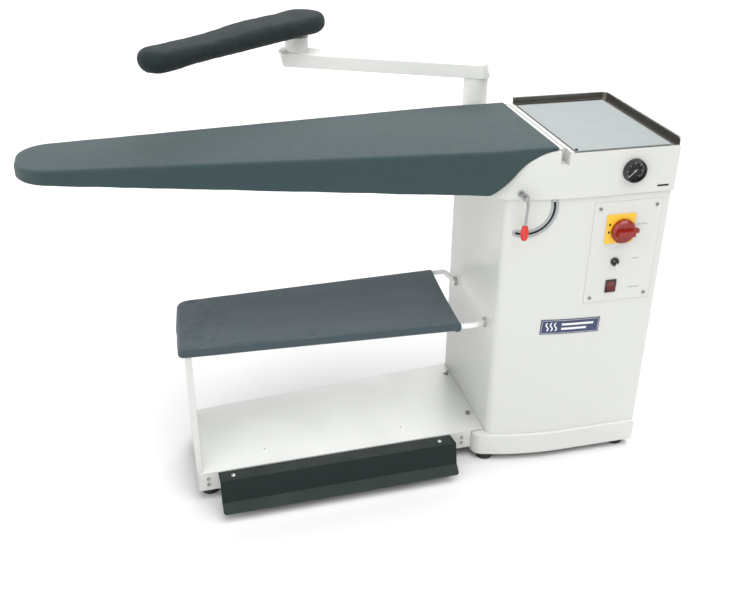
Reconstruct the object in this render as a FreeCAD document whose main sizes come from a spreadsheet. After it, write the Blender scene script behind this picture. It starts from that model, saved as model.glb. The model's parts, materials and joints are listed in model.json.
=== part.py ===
"""Vacuum ironing table with a built-in boiler cabinet, a swing arm with a sleeve buck and a foot pedal.

Row frame: millimetres, +Z up, origin on the floor under the middle of the object's box.
Drawing frame used below: x is measured from the cabinet's left face, y from the cabinet's middle
(the operator stands on the -y side), z from the floor.  frame_x and frame_y move it to the row frame.
"""

import FreeCAD
import Part
import Sketcher
import math
import os
import re

from FreeCAD import Placement, Rotation, Vector

DIMENSIONS = [
    # alias, value, meaning
    ("frame_x", 326.0, "row frame x of the cabinet's left face"),
    ("frame_y", -128.1627, "row frame y of the cabinet's middle"),
    ("cab_wide", 413, "cabinet width"),
    ("cab_deep", 388, "cabinet depth"),
    ("cab_low", 80, "top of the plinth, where the cabinet sheet starts"),
    ("cab_seam", 752, "joint between cabinet sheet and head"),
    ("cab_skin", 2.5, "cabinet sheet"),
    ("bow_from", 205, "where the flat front begins to curve back"),
    ("bow_radius", 740, "radius of the curved part of the front"),
    ("corner_radius", 25, "vertical corner at the left front"),
    ("plinth_low", 20, "underside of the plinth"),
    ("plinth_proud", 7, "how far the plinth stands out"),
    ("plinth_shift", 6, "plinth moved towards the lower shelf"),
    ("plinth_flare", 22, "how much further left the plinth reaches at its front corner"),
    ("plinth_skin", 4, "plinth wall and floor"),
    ("head_proud", 4.5, "how far the head overhangs the cabinet"),
    ("head_skin", 5.5, "head wall"),
    ("head_beak", 46, "head's reach to the left of the cabinet"),
    ("deck_high", 867, "top of the head beside the board"),
    ("tray_deck", 863, "recess that holds the tray"),
    ("tray_left", 149, "tray's left edge"),
    ("tray_right", 416.5, "tray's right edge"),
    ("tray_half", 194, "half of the tray's depth"),
    ("tray_skin", 1.5, "tray sheet"),
    ("rim_high", 18, "tray rim above its base"),
    ("rim_lip", 5, "width of the rim's turned edge"),
    ("rim_corner", 16, "corner radius of the tray's rim"),
    ("rim_ledge", 5.5, "height of the tray's low left edge"),
    ("mat_right", 394, "mat's right edge"),
    ("mat_back", 168, "mat's back edge"),
    ("mat_thick", 2.6, "silicone mat"),
    ("notch_left", 118, "hook notch, left side"),
    ("notch_wide", 21, "hook notch width"),
    ("notch_deep", 35, "hook notch depth from the front"),
    ("notch_high", 32, "hook notch height"),
    ("board_top", 875, "top of the covered board"),
    ("board_right", 116.5, "board's right end"),
    ("board_nose", 1072, "board's reach to the left"),
    ("board_half", 181, "half width at the wide end"),
    ("board_taper", 0.0925, "loss of half width per millimetre of length"),
    ("taper_from", 50, "where the taper starts, left of the cabinet face"),
    ("nose_radius", 74, "corner radius at the nose"),
    ("cover_thick", 2.5, "board cover cloth with its felt"),
    ("pad_low", 850, "underside of the foam"),
    ("plate_thick", 3, "perforated plate"),
    ("pan_skin", 2.5, "vacuum pan sheet"),
    ("shelf_top", 83.5, "top of the lower shelf"),
    ("shelf_skin", 2.5, "lower shelf sheet"),
    ("shelf_left", 755, "shelf's reach to the left"),
    ("shelf_front", 162, "shelf's front edge at the leg"),
    ("shelf_skew", 1.37, "turn of the shelf's front edge and of the pedal, degrees"),
    ("shelf_back_wide", 190, "shelf's back edge at the cabinet"),
    ("shelf_back_slim", 118, "shelf's back edge at the leg"),
    ("shelf_flange", 53, "height of the shelf's folded edges"),
    ("leg_top", 398, "top of the side leg"),
    ("leg_lean", 41, "how far the leg's front edge leans back by its top"),
    ("leg_fold", 13, "width of the leg's folded edges"),
    ("rail_radius", 7, "garment frame tube"),
    ("rail_high", 408, "garment frame tube's axis"),
    ("rail_left", 754, "garment frame's left run, back corner"),
    ("rail_corner", 767, "garment frame's left run, front corner"),
    ("rail_slim", 128, "frame's back run at the leg"),
    ("rail_slim_front", 116, "frame's front run at the leg"),
    ("rail_wide", 160, "frame's back run at the cabinet"),
    ("rail_wide_front", 144, "frame's front run at the cabinet"),
    ("rail_turn", 46, "where the rails turn in towards the cabinet"),
    ("ferrule_high", 384.5, "height of the frame's ferrules"),
    ("rail_tail", 12, "length of rail beyond the ferrules, inside the cabinet"),
    ("ferrule_front", 96, "front ferrule, forward of the middle"),
    ("ferrule_back", 140, "back ferrule, behind the middle"),
    ("sling_right", 86, "sling's right hem at the front, left of the cabinet"),
    ("sling_right_back", 70, "sling's right hem at the back, left of the cabinet"),
    ("sling_thick", 2.2, "sling cloth, two layers"),
    ("pedal_left", 709, "pedal's left end"),
    ("pedal_right", 102, "pedal's right end"),
    ("pedal_skin", 2.5, "pedal sheet"),
    ("pedal_axis_y", 100, "pedal pivot, forward of the middle"),
    ("pedal_axis_z", 52, "pedal pivot height"),
    ("pedal_pin_radius", 5, "pedal pivot pin"),
    ("post_x", 59, "lower post of the arm, x"),
    ("post_y", 238, "lower post of the arm, y"),
    ("post_radius", 32, "lower post radius"),
    ("post_low", 560, "lower post, bottom end"),
    ("arm_low", 932.5, "underside of the arm"),
    ("arm_high", 38.5, "height of the arm"),
    ("arm_half", 33, "half width of the arm"),
    ("arm_skin", 3, "arm sheet"),
    ("spigot_x", -378.5, "upper post, x"),
    ("spigot_y", 440, "upper post, y"),
    ("spigot_radius", 31, "upper post radius"),
    ("spigot_top", 1008, "top of the upper post"),
    ("buck_low", 1010, "underside of the sleeve buck's pan"),
    ("buck_pad_low", 1016.5, "underside of the sleeve buck's padding"),
    ("buck_top", 1064, "top of the covered sleeve buck"),
    ("buck_tip", 525, "tip's distance from the upper post"),
    ("buck_heel", 84, "heel's distance from the upper post"),
    ("buck_slim", 47, "half width at the tip"),
    ("buck_wide", 65, "half width at the heel"),
    ("buck_turn", 219.2, "direction of the buck, degrees from +x"),
    ("panel_left", 217.5, "control panel, left edge"),
    ("panel_low", 464, "control panel, lower edge"),
    ("panel_wide", 178, "control panel width"),
    ("panel_high", 269, "control panel height"),
    ("panel_thick", 1.5, "control panel sheet"),
    ("screw_inset", 15, "panel screws from the panel's edges"),
    ("switch_x", 295, "main switch axis, x"),
    ("switch_z", 658.5, "main switch axis, z"),
    ("switch_plate_x", 289.5, "middle of the yellow plate, x"),
    ("switch_plate_z", 663, "middle of the yellow plate, z"),
    ("switch_plate_wide", 73, "yellow plate width"),
    ("switch_plate_high", 74, "yellow plate height"),
    ("switch_plate_thick", 5, "yellow plate thickness"),
    ("handle_radius", 30.5, "red handle radius"),
    ("toggle_x", 288, "toggle switch, x"),
    ("toggle_z", 574, "toggle switch, z"),
    ("toggle_radius", 10.5, "toggle switch nut radius"),
    ("rocker_x", 286, "rocker switch, x"),
    ("rocker_z", 507, "rocker switch, z"),
    ("rocker_wide", 28, "rocker bezel width"),
    ("rocker_high", 34, "rocker bezel height"),
    ("rocker_border", 2, "rocker bezel, width of its border"),
    ("gauge_x", 304, "pressure gauge, x"),
    ("gauge_z", 811, "pressure gauge, z"),
    ("gauge_radius", 29, "pressure gauge bezel radius"),
    ("gauge_proud", 12, "how far the gauge stands out of the head"),
    ("plate_left", 112, "nameplate, left edge"),
    ("plate_wide", 158, "nameplate length"),
    ("plate_low", 382, "nameplate, lower edge"),
    ("plate_high", 41.5, "nameplate height"),
    ("plate_tilt", 2.4, "nameplate's tilt, degrees"),
    ("lever_x", 33, "selector shaft, x"),
    ("lever_z", 768, "selector shaft, z"),
    ("lever_radius", 5, "selector shaft radius"),
    ("lever_proud", 19, "how far the selector shaft stands out of the front"),
    ("rod_radius", 3.4, "selector's hanging rod radius"),
    ("slot_x", 49.5, "centre of the curved slot, x"),
    ("slot_z", 730, "centre of the curved slot, z"),
    ("slot_radius", 67, "radius of the curved slot"),
    ("slot_half", 3.2, "half width of the curved slot"),
    ("slot_trim", 6, "trim beside the slot"),
    ("boiler_x", 296, "boiler axis, x"),
    ("boiler_y", 40, "boiler axis, y"),
    ("boiler_radius", 92, "boiler shell radius"),
    ("boiler_low", 110, "boiler's lowest point"),
    ("boiler_high", 300, "boiler's overall height"),
    ("fan_x", 100, "fan axis, x"),
    ("fan_y", 30, "fan axis, y"),
    ("fan_low", 560, "underside of the fan housing"),
    ("fan_radius", 82, "fan housing radius"),
    ("fan_high", 70, "fan housing height"),
    ("foot_radius", 22, "rubber foot radius"),
    ("foot_high", 18, "rubber foot height"),
]

doc = FreeCAD.newDocument("ironing_table")
sheet = doc.addObject("Spreadsheet::Sheet", "Dims")
for row, (alias, value, meaning) in enumerate(DIMENSIONS, start=1):
    sheet.set(f"A{row}", meaning)
    sheet.set(f"B{row}", str(value))
    sheet.setAlias(f"B{row}", alias)
doc.recompute()

ALIAS = re.compile(r"\b(" + "|".join(alias for alias, _, _ in DIMENSIONS) + r")\b")
nodes = []


class Sizes:
    """Reads a dimension from the sheet by its alias."""

    def __getattr__(self, alias):
        return float(sheet.get(alias))


d = Sizes()


def sized(text):
    """An expression with every alias pointing at the sheet."""
    return ALIAS.sub(lambda found: "Dims." + found.group(0), str(text))


def settle(thing, x, y, z, axis="z"):
    """Bind a placement: a point in the drawing frame, with the object's own z turned to axis."""
    turns = {
        "z": Rotation(),
        "x": Rotation(Vector(0, 1, 0), 90),
        "y": Rotation(Vector(1, 0, 0), -90),
        "-y": Rotation(Vector(1, 0, 0), 90),
    }
    thing.Placement = Placement(Vector(), turns[axis])
    thing.setExpression("Placement.Base.x", sized(f"frame_x + ({x})"))
    thing.setExpression("Placement.Base.y", sized(f"frame_y + ({y})"))
    thing.setExpression("Placement.Base.z", sized(f"{z}"))
    return thing


def box(name, x, y, z, length, width, height):
    thing = doc.addObject("Part::Box", name)
    thing.setExpression("Length", sized(length))
    thing.setExpression("Width", sized(width))
    thing.setExpression("Height", sized(height))
    return settle(thing, x, y, z)


def rod(name, x, y, z, radius, height, axis="z"):
    thing = doc.addObject("Part::Cylinder", name)
    thing.setExpression("Radius", sized(radius))
    thing.setExpression("Height", sized(height))
    return settle(thing, x, y, z, axis)


def joined(name, *things):
    thing = doc.addObject("Part::MultiFuse", name)
    thing.Shapes = list(things)
    return thing


def cut(name, base, *tools):
    thing = doc.addObject("Part::Cut", name)
    thing.Base = base
    thing.Tool = tools[0] if len(tools) == 1 else joined(name + "_tools", *tools)
    return thing


def tube(name, x, y, z, outer, inner, height, axis="z"):
    wall = rod(name + "_wall", x, y, z, outer, height, axis)
    hole = rod(name + "_hole", x, y, z, inner, height, axis)
    return cut(name, wall, hole)


def feature(name, shape):
    """A shape drawn in the drawing frame, placed in the row frame."""
    thing = doc.addObject("Part::Feature", name)
    thing.Shape = shape
    thing.Placement = Placement(Vector(d.frame_x, d.frame_y, 0), Rotation()).multiply(thing.Placement)
    return thing


def node(name, thing):
    """This object is a finished sub-part: its Label names its file."""
    thing.Label = name
    nodes.append(thing)
    return thing


def origin_plane(body, role):
    return next(o for o in body.Origin.OriginFeatures if o.Role == role)


def outline_sketch(body, role, corners):
    """A closed outline on one of the body's own planes; every corner is bound to the sheet."""
    sketch = body.newObject("Sketcher::SketchObject", body.Name + "_outline")
    sketch.AttachmentSupport = (origin_plane(body, role), [""])
    sketch.MapMode = "FlatFace"
    count = len(corners)
    circle = [2 * math.pi * k / count for k in range(count)]
    start = [Vector(50 + 40 * math.cos(a), 50 + 40 * math.sin(a), 0) for a in circle]
    for k in range(count):
        sketch.addGeometry(Part.LineSegment(start[k], start[(k + 1) % count]))
    for k in range(count):
        sketch.addConstraint(Sketcher.Constraint("Coincident", k, 2, (k + 1) % count, 1))
    for k, corner in enumerate(corners):
        for kind, text in zip(("DistanceX", "DistanceY"), corner):
            index = sketch.addConstraint(Sketcher.Constraint(kind, -1, 1, k, 1, 10.0))
            sketch.renameConstraint(index, f"{kind}_{k}")
            sketch.setExpression(f"Constraints.{kind}_{k}", sized(text))
    return sketch


def padded_outline(name, role, corners, length, x, y, z, axis="z"):
    """A PartDesign body: an outline pushed out to a length."""
    body = doc.addObject("PartDesign::Body", name)
    sketch = outline_sketch(body, role, corners)
    pad = body.newObject("PartDesign::Pad", name + "_pad")
    pad.Profile = sketch
    pad.setExpression("Length", sized(length))
    return settle(body, x, y, z, axis)


def turned(name, corners, x, y, z, axis="z"):
    """A PartDesign body of revolution; corners are (radius, height) and the axis is its own z."""
    body = doc.addObject("PartDesign::Body", name)
    sketch = outline_sketch(body, "XZ_Plane", corners)
    spin = body.newObject("PartDesign::Revolution", name + "_spin")
    spin.Profile = sketch
    spin.ReferenceAxis = (sketch, ["V_Axis"])
    spin.Angle = 360
    return settle(body, x, y, z, axis)


# ---------------------------------------------------------------- outlines used by several pieces


def cabinet_outline(grow, left=0.0, shift=0.0, flare=0.0):
    """The cabinet's plan grown outwards: flat front, curved towards the left, one rounded corner.

    With flare the left side runs outwards towards its front corner.
    """
    front = -d.cab_deep / 2 - grow
    back = d.cab_deep / 2 + grow
    right = d.cab_wide + grow
    left_face = -left - grow
    left_front = left_face - flare
    radius = d.bow_radius + grow
    corner = max(d.corner_radius + grow, 2.0)
    centre = Vector(d.bow_from, -d.cab_deep / 2 + d.bow_radius, 0)
    corner_x = left_front + corner
    reach = radius - corner
    corner_y = centre.y - math.sqrt(reach**2 - (d.bow_from - corner_x) ** 2)
    middle = Vector(corner_x, corner_y, 0)
    outward = (middle - centre).normalize()
    bow_end = centre + outward * radius
    bow_middle = centre + (outward + Vector(0, -1, 0)).normalize() * radius
    corner_end = Vector(left_front, corner_y, 0)
    corner_middle = middle + (outward + Vector(-1, 0, 0)).normalize() * corner
    edges = [
        Part.LineSegment(Vector(right, front, 0), Vector(d.bow_from, front, 0)),
        Part.Arc(Vector(d.bow_from, front, 0), bow_middle, bow_end),
        Part.Arc(bow_end, corner_middle, corner_end),
        Part.LineSegment(corner_end, Vector(left_face, back, 0)),
        Part.LineSegment(Vector(left_face, back, 0), Vector(right, back, 0)),
        Part.LineSegment(Vector(right, back, 0), Vector(right, front, 0)),
    ]
    wire = Part.Wire([edge.toShape() for edge in edges])
    wire.translate(Vector(-shift, 0, 0))
    return wire


def prism(wire, low, high):
    """A closed flat wire lifted to low and pushed up to high."""
    face = Part.Face(wire)
    face.translate(Vector(0, 0, low))
    return face.extrude(Vector(0, 0, high - low))


def board_under(step=0.0):
    """The line under the board from nose to tray, as edges in the xz plane, raised by step.

    It runs straight under the board and then climbs over the head in an S of two arcs.
    """
    nose = Vector(-d.board_nose - 20, 0, 849.5 + step)
    first = Vector(-d.board_nose + 122, 0, 837.5 + step)
    heel = Vector(-d.head_beak + 1, 0, 769.5 + step)
    bend = Vector(18, 0, 819 + step)
    top = Vector(d.board_right + 6, 0, d.deck_high + 0.5 + step)
    return [
        Part.LineSegment(nose, first).toShape(),
        Part.LineSegment(first, heel).toShape(),
        Part.Arc(heel, Vector(-9, 0, 791.5 + step), bend).toShape(),
        Part.Arc(bend, Vector(59, 0, 852 + step), top).toShape(),
    ]


def slab_between(edges, level):
    """Fills from a chain of xz edges to a level, over the object's whole depth."""
    start = edges[0].valueAt(edges[0].FirstParameter)
    end = edges[-1].valueAt(edges[-1].LastParameter)
    rim = Part.makePolygon([end, Vector(end.x, 0, level), Vector(start.x, 0, level), start])
    face = Part.Face(Part.Wire(edges + rim.Edges))
    face.translate(Vector(0, -400, 0))
    return face.extrude(Vector(0, 800, 0))


def board_outline(inset, low, high):
    """The board's plan, inset all round, as a prism."""
    half = d.board_half - inset
    right = d.board_right - inset
    taper_length = d.board_nose - inset - d.taper_from
    slim = half - d.board_taper * taper_length
    nose = -d.board_nose + inset
    start = -d.taper_from
    corners = [
        Vector(right, -half, 0),
        Vector(right, half, 0),
        Vector(start, half, 0),
        Vector(nose, slim, 0),
        Vector(nose, -slim, 0),
        Vector(start, -half, 0),
    ]
    solid = prism(Part.makePolygon(corners + corners[:1]), low, high)
    nose_edges = [
        e
        for e in solid.Edges
        if abs(e.Vertexes[0].X - nose) < 0.1 and abs(e.Vertexes[1].X - nose) < 0.1
        and abs(e.Vertexes[0].Z - e.Vertexes[1].Z) > 1
    ]
    return solid.makeFillet(d.nose_radius - inset, nose_edges)


def bent_pipe(points, radius, bends):
    """Straight runs joined by tangent arcs, swept with a circle."""
    edges = []
    here = points[0]
    for before, corner, after, bend in zip(points, points[1:], points[2:], bends):
        to_before = (before - corner).normalize()
        to_after = (after - corner).normalize()
        half_turn = (math.pi - to_before.getAngle(to_after)) / 2
        trim = bend * math.tan(half_turn)
        start = corner + to_before * trim
        end = corner + to_after * trim
        centre = corner + (to_before + to_after).normalize() * (bend / math.cos(half_turn))
        middle = centre + (corner - centre).normalize() * bend
        if (start - here).Length > 0.01:
            edges.append(Part.LineSegment(here, start).toShape())
        edges.append(Part.Arc(start, middle, end).toShape())
        here = end
    edges.append(Part.LineSegment(here, points[-1]).toShape())
    path = Part.Wire(edges)
    ring = Part.Wire(Part.makeCircle(radius, points[0], points[1] - points[0]))
    return path.makePipeShell([ring], True, True)


def hole(x, y, z, radius, length, direction):
    """A round cutter."""
    return Part.makeCylinder(radius, length, Vector(x, y, z), direction)


FORWARD = Vector(0, -1, 0)
BACKWARD = Vector(0, 1, 0)
LEFT = Vector(-1, 0, 0)
RIGHT = Vector(1, 0, 0)
UP = Vector(0, 0, 1)
RAIL_BENDS = (26, 14, 22, 18)


def panel_screw_places():
    """The control panel's four screws."""
    low = d.panel_low + d.screw_inset
    high = d.panel_low + d.panel_high - d.screw_inset
    left = d.panel_left + d.screw_inset
    right = d.panel_left + d.panel_wide - d.screw_inset
    return [(x, z) for x in (left, right) for z in (low, high)]


def rear_screw_places():
    """The rear panel's four screws."""
    return [(x, z) for x in (136, d.cab_wide - 18) for z in (d.cab_low + 36, d.cab_seam - 36)]


# ---------------------------------------------------------------- cabinet


def cabinet():
    front = -d.cab_deep / 2
    back = d.cab_deep / 2
    shell = prism(cabinet_outline(0), d.cab_low, d.cab_seam)
    shell = shell.cut(prism(cabinet_outline(-d.cab_skin), d.cab_low, d.cab_seam))
    rear_opening = Part.makeBox(
        d.cab_wide - 168, 20, d.cab_seam - d.cab_low - 100, Vector(150, back - 10, d.cab_low + 50)
    )
    shell = shell.cut(rear_opening)
    for x, z in panel_screw_places():
        shell = shell.cut(hole(x, front - 1, z, 2.1, 8, BACKWARD))
    for x, z in rear_screw_places():
        shell = shell.cut(hole(x, back + 1, z, 2.1, 8, FORWARD))
    for x, z, radius in ((d.switch_x, d.switch_z, 9), (d.toggle_x, d.toggle_z, 5.6)):
        shell = shell.cut(hole(x, front - 1, z, radius, 8, BACKWARD))
    window_wide = d.rocker_wide - 2 * d.rocker_border
    window_high = d.rocker_high - 2 * d.rocker_border
    window_corner = Vector(d.rocker_x - window_wide / 2, front - 1, d.rocker_z - window_high / 2)
    shell = shell.cut(Part.makeBox(window_wide, 8, window_high, window_corner))
    shell = shell.cut(curved_slot(d.slot_half, -260, 160))
    shell = shell.cut(bent_pipe(rail_points(), d.rail_radius + 0.1, RAIL_BENDS))
    node("cabinet_shell", feature("cabinet_sheet", shell))

    shift = d.plinth_shift
    proud = d.plinth_proud
    flare = d.plinth_flare
    ledge = d.cab_low - 2
    low = prism(cabinet_outline(proud, 0, shift, flare), d.plinth_low, ledge)
    lower_edge = cabinet_outline(proud, 0, shift, flare)
    lower_edge.translate(Vector(0, 0, ledge))
    upper_edge = cabinet_outline(0.6)
    upper_edge.translate(Vector(0, 0, d.cab_low))
    shoulder = Part.makeLoft([lower_edge, upper_edge], True, True)
    hollow = prism(
        cabinet_outline(proud - d.plinth_skin, 0, shift, flare), d.plinth_low, ledge - 2 * d.plinth_skin
    )
    base = low.fuse(shoulder).cut(hollow).removeSplitter()
    for x, y in cabinet_feet():
        base = base.cut(hole(x, y, d.plinth_low, 5.1, 80, UP))
    for x, y in shelf_bolt_places():
        base = base.cut(hole(x, y, ledge - 6, 4.1, 12, UP))
    node("base_pan", feature("base_pan_sheet", base))

    rear = box("rear_blank", 128, "cab_deep/2", "cab_low + 28", "cab_wide - 138", 1.5,
               "cab_seam - cab_low - 56")
    louvres = []
    for k in range(7):
        louvres.append(box(f"louvre_{k}", "cab_wide/2 - 10", "cab_deep/2 - 2", f"cab_low + 380 + {k * 22}",
                           120, 6, 6))
    for k, (x, z) in enumerate(rear_screw_places()):
        louvres.append(rod(f"rear_screw_hole_{k}", x, "cab_deep/2 - 2", z, 2.1, 6, "y"))
    louvres.append(rod("gland_hole", 330, "cab_deep/2 - 2", "cab_low + 90", 12.2, 6, "y"))
    node("rear_panel", cut("rear_sheet", rear, *louvres))

    screws = []
    for x, z in panel_screw_places():
        screws.append(hole(x, front - d.panel_thick - 2.2, z, 4, 2.2, BACKWARD))
        screws.append(hole(x, front - d.panel_thick, z, 2.0, 6, BACKWARD))
    for x, z in rear_screw_places():
        screws.append(hole(x, back + 1.5, z, 4, 2.2, BACKWARD))
        screws.append(hole(x, back + 1.5, z, 2.0, 6, FORWARD))
    pairs = [screws[k].fuse(screws[k + 1]) for k in range(0, len(screws), 2)]
    node("panel_screws", feature("pan_head_screws", Part.makeCompound(pairs)))


def curved_slot(half, near, deep):
    """The quarter-round slot below the selector's shaft, as a cutter along y."""
    outer = hole(d.slot_x, near, d.slot_z, d.slot_radius + half, deep, BACKWARD)
    inner = hole(d.slot_x, near - 1, d.slot_z, d.slot_radius - half, deep + 2, BACKWARD)
    ring = outer.cut(inner)
    first, last = math.radians(-106), math.radians(12)
    ends = []
    wedge = [Vector(d.slot_x, near - 2, d.slot_z)]
    for k in range(7):
        turn = first + (last - first) * k / 6
        wedge.append(
            Vector(d.slot_x + 160 * math.cos(turn), near - 2, d.slot_z + 160 * math.sin(turn))
        )
    wedge.append(wedge[0])
    sector = Part.Face(Part.makePolygon(wedge)).extrude(Vector(0, deep + 4, 0))
    for turn in (first, last):
        x = d.slot_x + d.slot_radius * math.cos(turn)
        z = d.slot_z + d.slot_radius * math.sin(turn)
        ends.append(hole(x, near, z, half, deep, BACKWARD))
    return ring.common(sector).fuse(ends)


def cabinet_feet():
    """Foot positions under the cabinet."""
    return [(4, -148), (378, -168), (20, 166), (378, 166)]


def feet():
    places = cabinet_feet() + [(-d.shelf_left + 27, -119), (-d.shelf_left + 27, 92)]
    solids = []
    for k, (x, y) in enumerate(places):
        pad = Part.makeCone(d.foot_radius, d.foot_radius - 3, d.foot_high, Vector(x, y, 0))
        stem_top = d.cab_low - 2 if k < 4 else d.shelf_top - d.shelf_skin
        stem = Part.makeCylinder(5, stem_top - d.foot_high, Vector(x, y, d.foot_high))
        solids.append(pad.fuse(stem))
    node("levelling_feet", feature("feet_group", Part.makeCompound(solids)))


# ---------------------------------------------------------------- head, tray and gauge


def head():
    deck = board_under(-1.0)[2:]
    top_line = [
        Vector(d.board_right + 6, 0, d.deck_high - 0.5),
        Vector(d.tray_left - 1.5, 0, d.deck_high - 0.5),
        Vector(d.tray_left - 1.5, 0, d.tray_deck),
        Vector(d.cab_wide + 20, 0, d.tray_deck),
    ]
    floor_line = [
        Vector(d.cab_wide + 20, 0, d.cab_seam),
        Vector(-4, 0, d.cab_seam),
        Vector(-d.head_beak + 1, 0, 768.5),
    ]
    upper = Part.makePolygon(top_line + floor_line)
    outer_face = Part.Face(Part.Wire(deck + upper.Edges))
    outer_face.translate(Vector(0, -400, 0))
    outer = outer_face.extrude(Vector(0, 800, 0))
    outer = outer.common(prism(cabinet_outline(d.head_proud, d.head_beak - d.head_proud), 740, 880))

    inside = board_under(-4.5)[2:]
    roof = Part.makePolygon([
        Vector(d.board_right + 6, 0, d.deck_high - 4),
        Vector(d.tray_left - 5, 0, d.deck_high - 4),
        Vector(d.tray_left - 5, 0, d.tray_deck - 3.5),
        Vector(d.cab_wide + 20, 0, d.tray_deck - 3.5),
        Vector(d.cab_wide + 20, 0, d.cab_seam - 5),
        Vector(-d.head_beak + 1, 0, d.cab_seam - 5),
        Vector(-d.head_beak + 1, 0, 765),
    ])
    inner_face = Part.Face(Part.Wire(inside + roof.Edges))
    inner_face.translate(Vector(0, -400, 0))
    inner = inner_face.extrude(Vector(0, 800, 0))
    inner = inner.common(prism(cabinet_outline(d.head_proud - d.head_skin, -2.0), 740, 880))
    cover = outer.cut(inner)

    front = -d.cab_deep / 2 - d.head_proud
    lining = Part.makeBox(
        d.notch_wide + 7, d.notch_deep + 3.5, d.notch_high + 3.5,
        Vector(d.notch_left - 3.5, front + 6.5, d.deck_high - 4 - d.notch_high),
    )
    notch = Part.makeBox(
        d.notch_wide, d.notch_deep + 6, d.notch_high + 10,
        Vector(d.notch_left, front - 6, d.deck_high - d.notch_high),
    )
    gutter = Part.makeBox(
        16, d.cab_deep, 6, Vector(d.notch_left + 2.5, front - 1, d.deck_high - 2.5)
    )
    cover = cover.fuse(lining).cut(notch).cut(gutter)
    cover = cover.cut(hole(d.gauge_x, front - 2, d.gauge_z, 25.2, 30, BACKWARD))
    cover = cover.cut(hole(d.lever_x, front - 2, d.lever_z, 8.1, 60, BACKWARD))
    cover = cover.cut(air_port(30))
    node("head_cover", feature("head_sheet", cover.removeSplitter()))


def air_port(extra):
    """The opening through the head's roof and the pan's floor, where air is drawn down."""
    return Part.makeBox(26, 70, 40 + extra, Vector(10, -145, 790))


def tray_plan(grow):
    """The tray seen from above, grown at its right and back sides, with one rounded corner."""
    right, back = d.tray_right + grow, d.tray_half + grow
    corner = d.rim_corner + grow
    bend = corner * (1 - math.sqrt(0.5))
    front_left = Vector(d.tray_left, -d.tray_half, 0)
    front_right = Vector(right, -d.tray_half, 0)
    bend_start = Vector(right, back - corner, 0)
    bend_end = Vector(right - corner, back, 0)
    back_left = Vector(d.tray_left, back, 0)
    return Part.Wire([
        Part.LineSegment(front_left, front_right).toShape(),
        Part.LineSegment(front_right, bend_start).toShape(),
        Part.Arc(bend_start, Vector(right - bend, back - bend, 0), bend_end).toShape(),
        Part.LineSegment(bend_end, back_left).toShape(),
        Part.LineSegment(back_left, front_left).toShape(),
    ])


def tray():
    skin = d.tray_skin
    low, high = d.tray_deck, d.tray_deck + d.rim_high
    pan = prism(tray_plan(0), low, high).cut(prism(tray_plan(-skin), low + skin, high + 1))
    lip = prism(tray_plan(d.rim_lip - skin), high - skin, high)
    lip = lip.cut(prism(tray_plan(-skin), low, high + 1))
    ledge = Part.makeBox(skin, 2 * d.tray_half, d.rim_ledge, Vector(d.tray_left, -d.tray_half, low))
    pan = pan.fuse([lip, ledge])
    round_off = 9
    nose = Vector(d.tray_right - 10, -d.tray_half, high - round_off)
    corner = Part.makeBox(30, round_off, round_off + 1, nose)
    keep = hole(nose.x - 1, nose.y + round_off, nose.z, round_off, 32, RIGHT)
    pan = pan.cut(corner.cut(keep)).removeSplitter()
    node("iron_tray", feature("tray_sheet", pan))
    node("tray_mat", box("mat_sheet", "tray_left + 2.5", "-tray_half + 2",
                         "tray_deck + tray_skin + 0.2", "mat_right - tray_left - 2.5",
                         "mat_back + tray_half - 2", "mat_thick"))


def gauge():
    x, z = "gauge_x", "gauge_z"
    front = "-cab_deep/2 - head_proud"
    case = turned(
        "gauge_cup",
        [
            ("0", "-42"),
            ("25", "-42"),
            ("25", "0"),
            ("gauge_radius", "0"),
            ("gauge_radius - 1.5", "gauge_proud"),
            ("gauge_radius - 4", "gauge_proud"),
            ("gauge_radius - 4", "gauge_proud - 9"),
            ("0", "gauge_proud - 9"),
        ],
        x, front, z, "-y",
    )
    node("gauge_case", case)
    node("gauge_dial", rod("dial_disc", x, f"{front} - gauge_proud + 9", z, "gauge_radius - 4.3", 1, "-y"))
    node("gauge_lens", rod("lens_disc", x, f"{front} - gauge_proud + 2.5", z, "gauge_radius - 4.2", 1.6, "-y"))
    level = -d.cab_deep / 2 - d.head_proud - d.gauge_proud
    pivot = Part.makeCylinder(2.2, 3, Vector(d.gauge_x, level + 7.8, d.gauge_z), FORWARD)
    blade = Part.makeBox(28, 0.8, 1.6, Vector(d.gauge_x - 6, level + 5.6, d.gauge_z - 0.8))
    blade.rotate(Vector(d.gauge_x, 0, d.gauge_z), BACKWARD, -225)
    node("gauge_needle", feature("needle_pieces", pivot.fuse(blade)))


# ---------------------------------------------------------------- controls on the front


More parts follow.
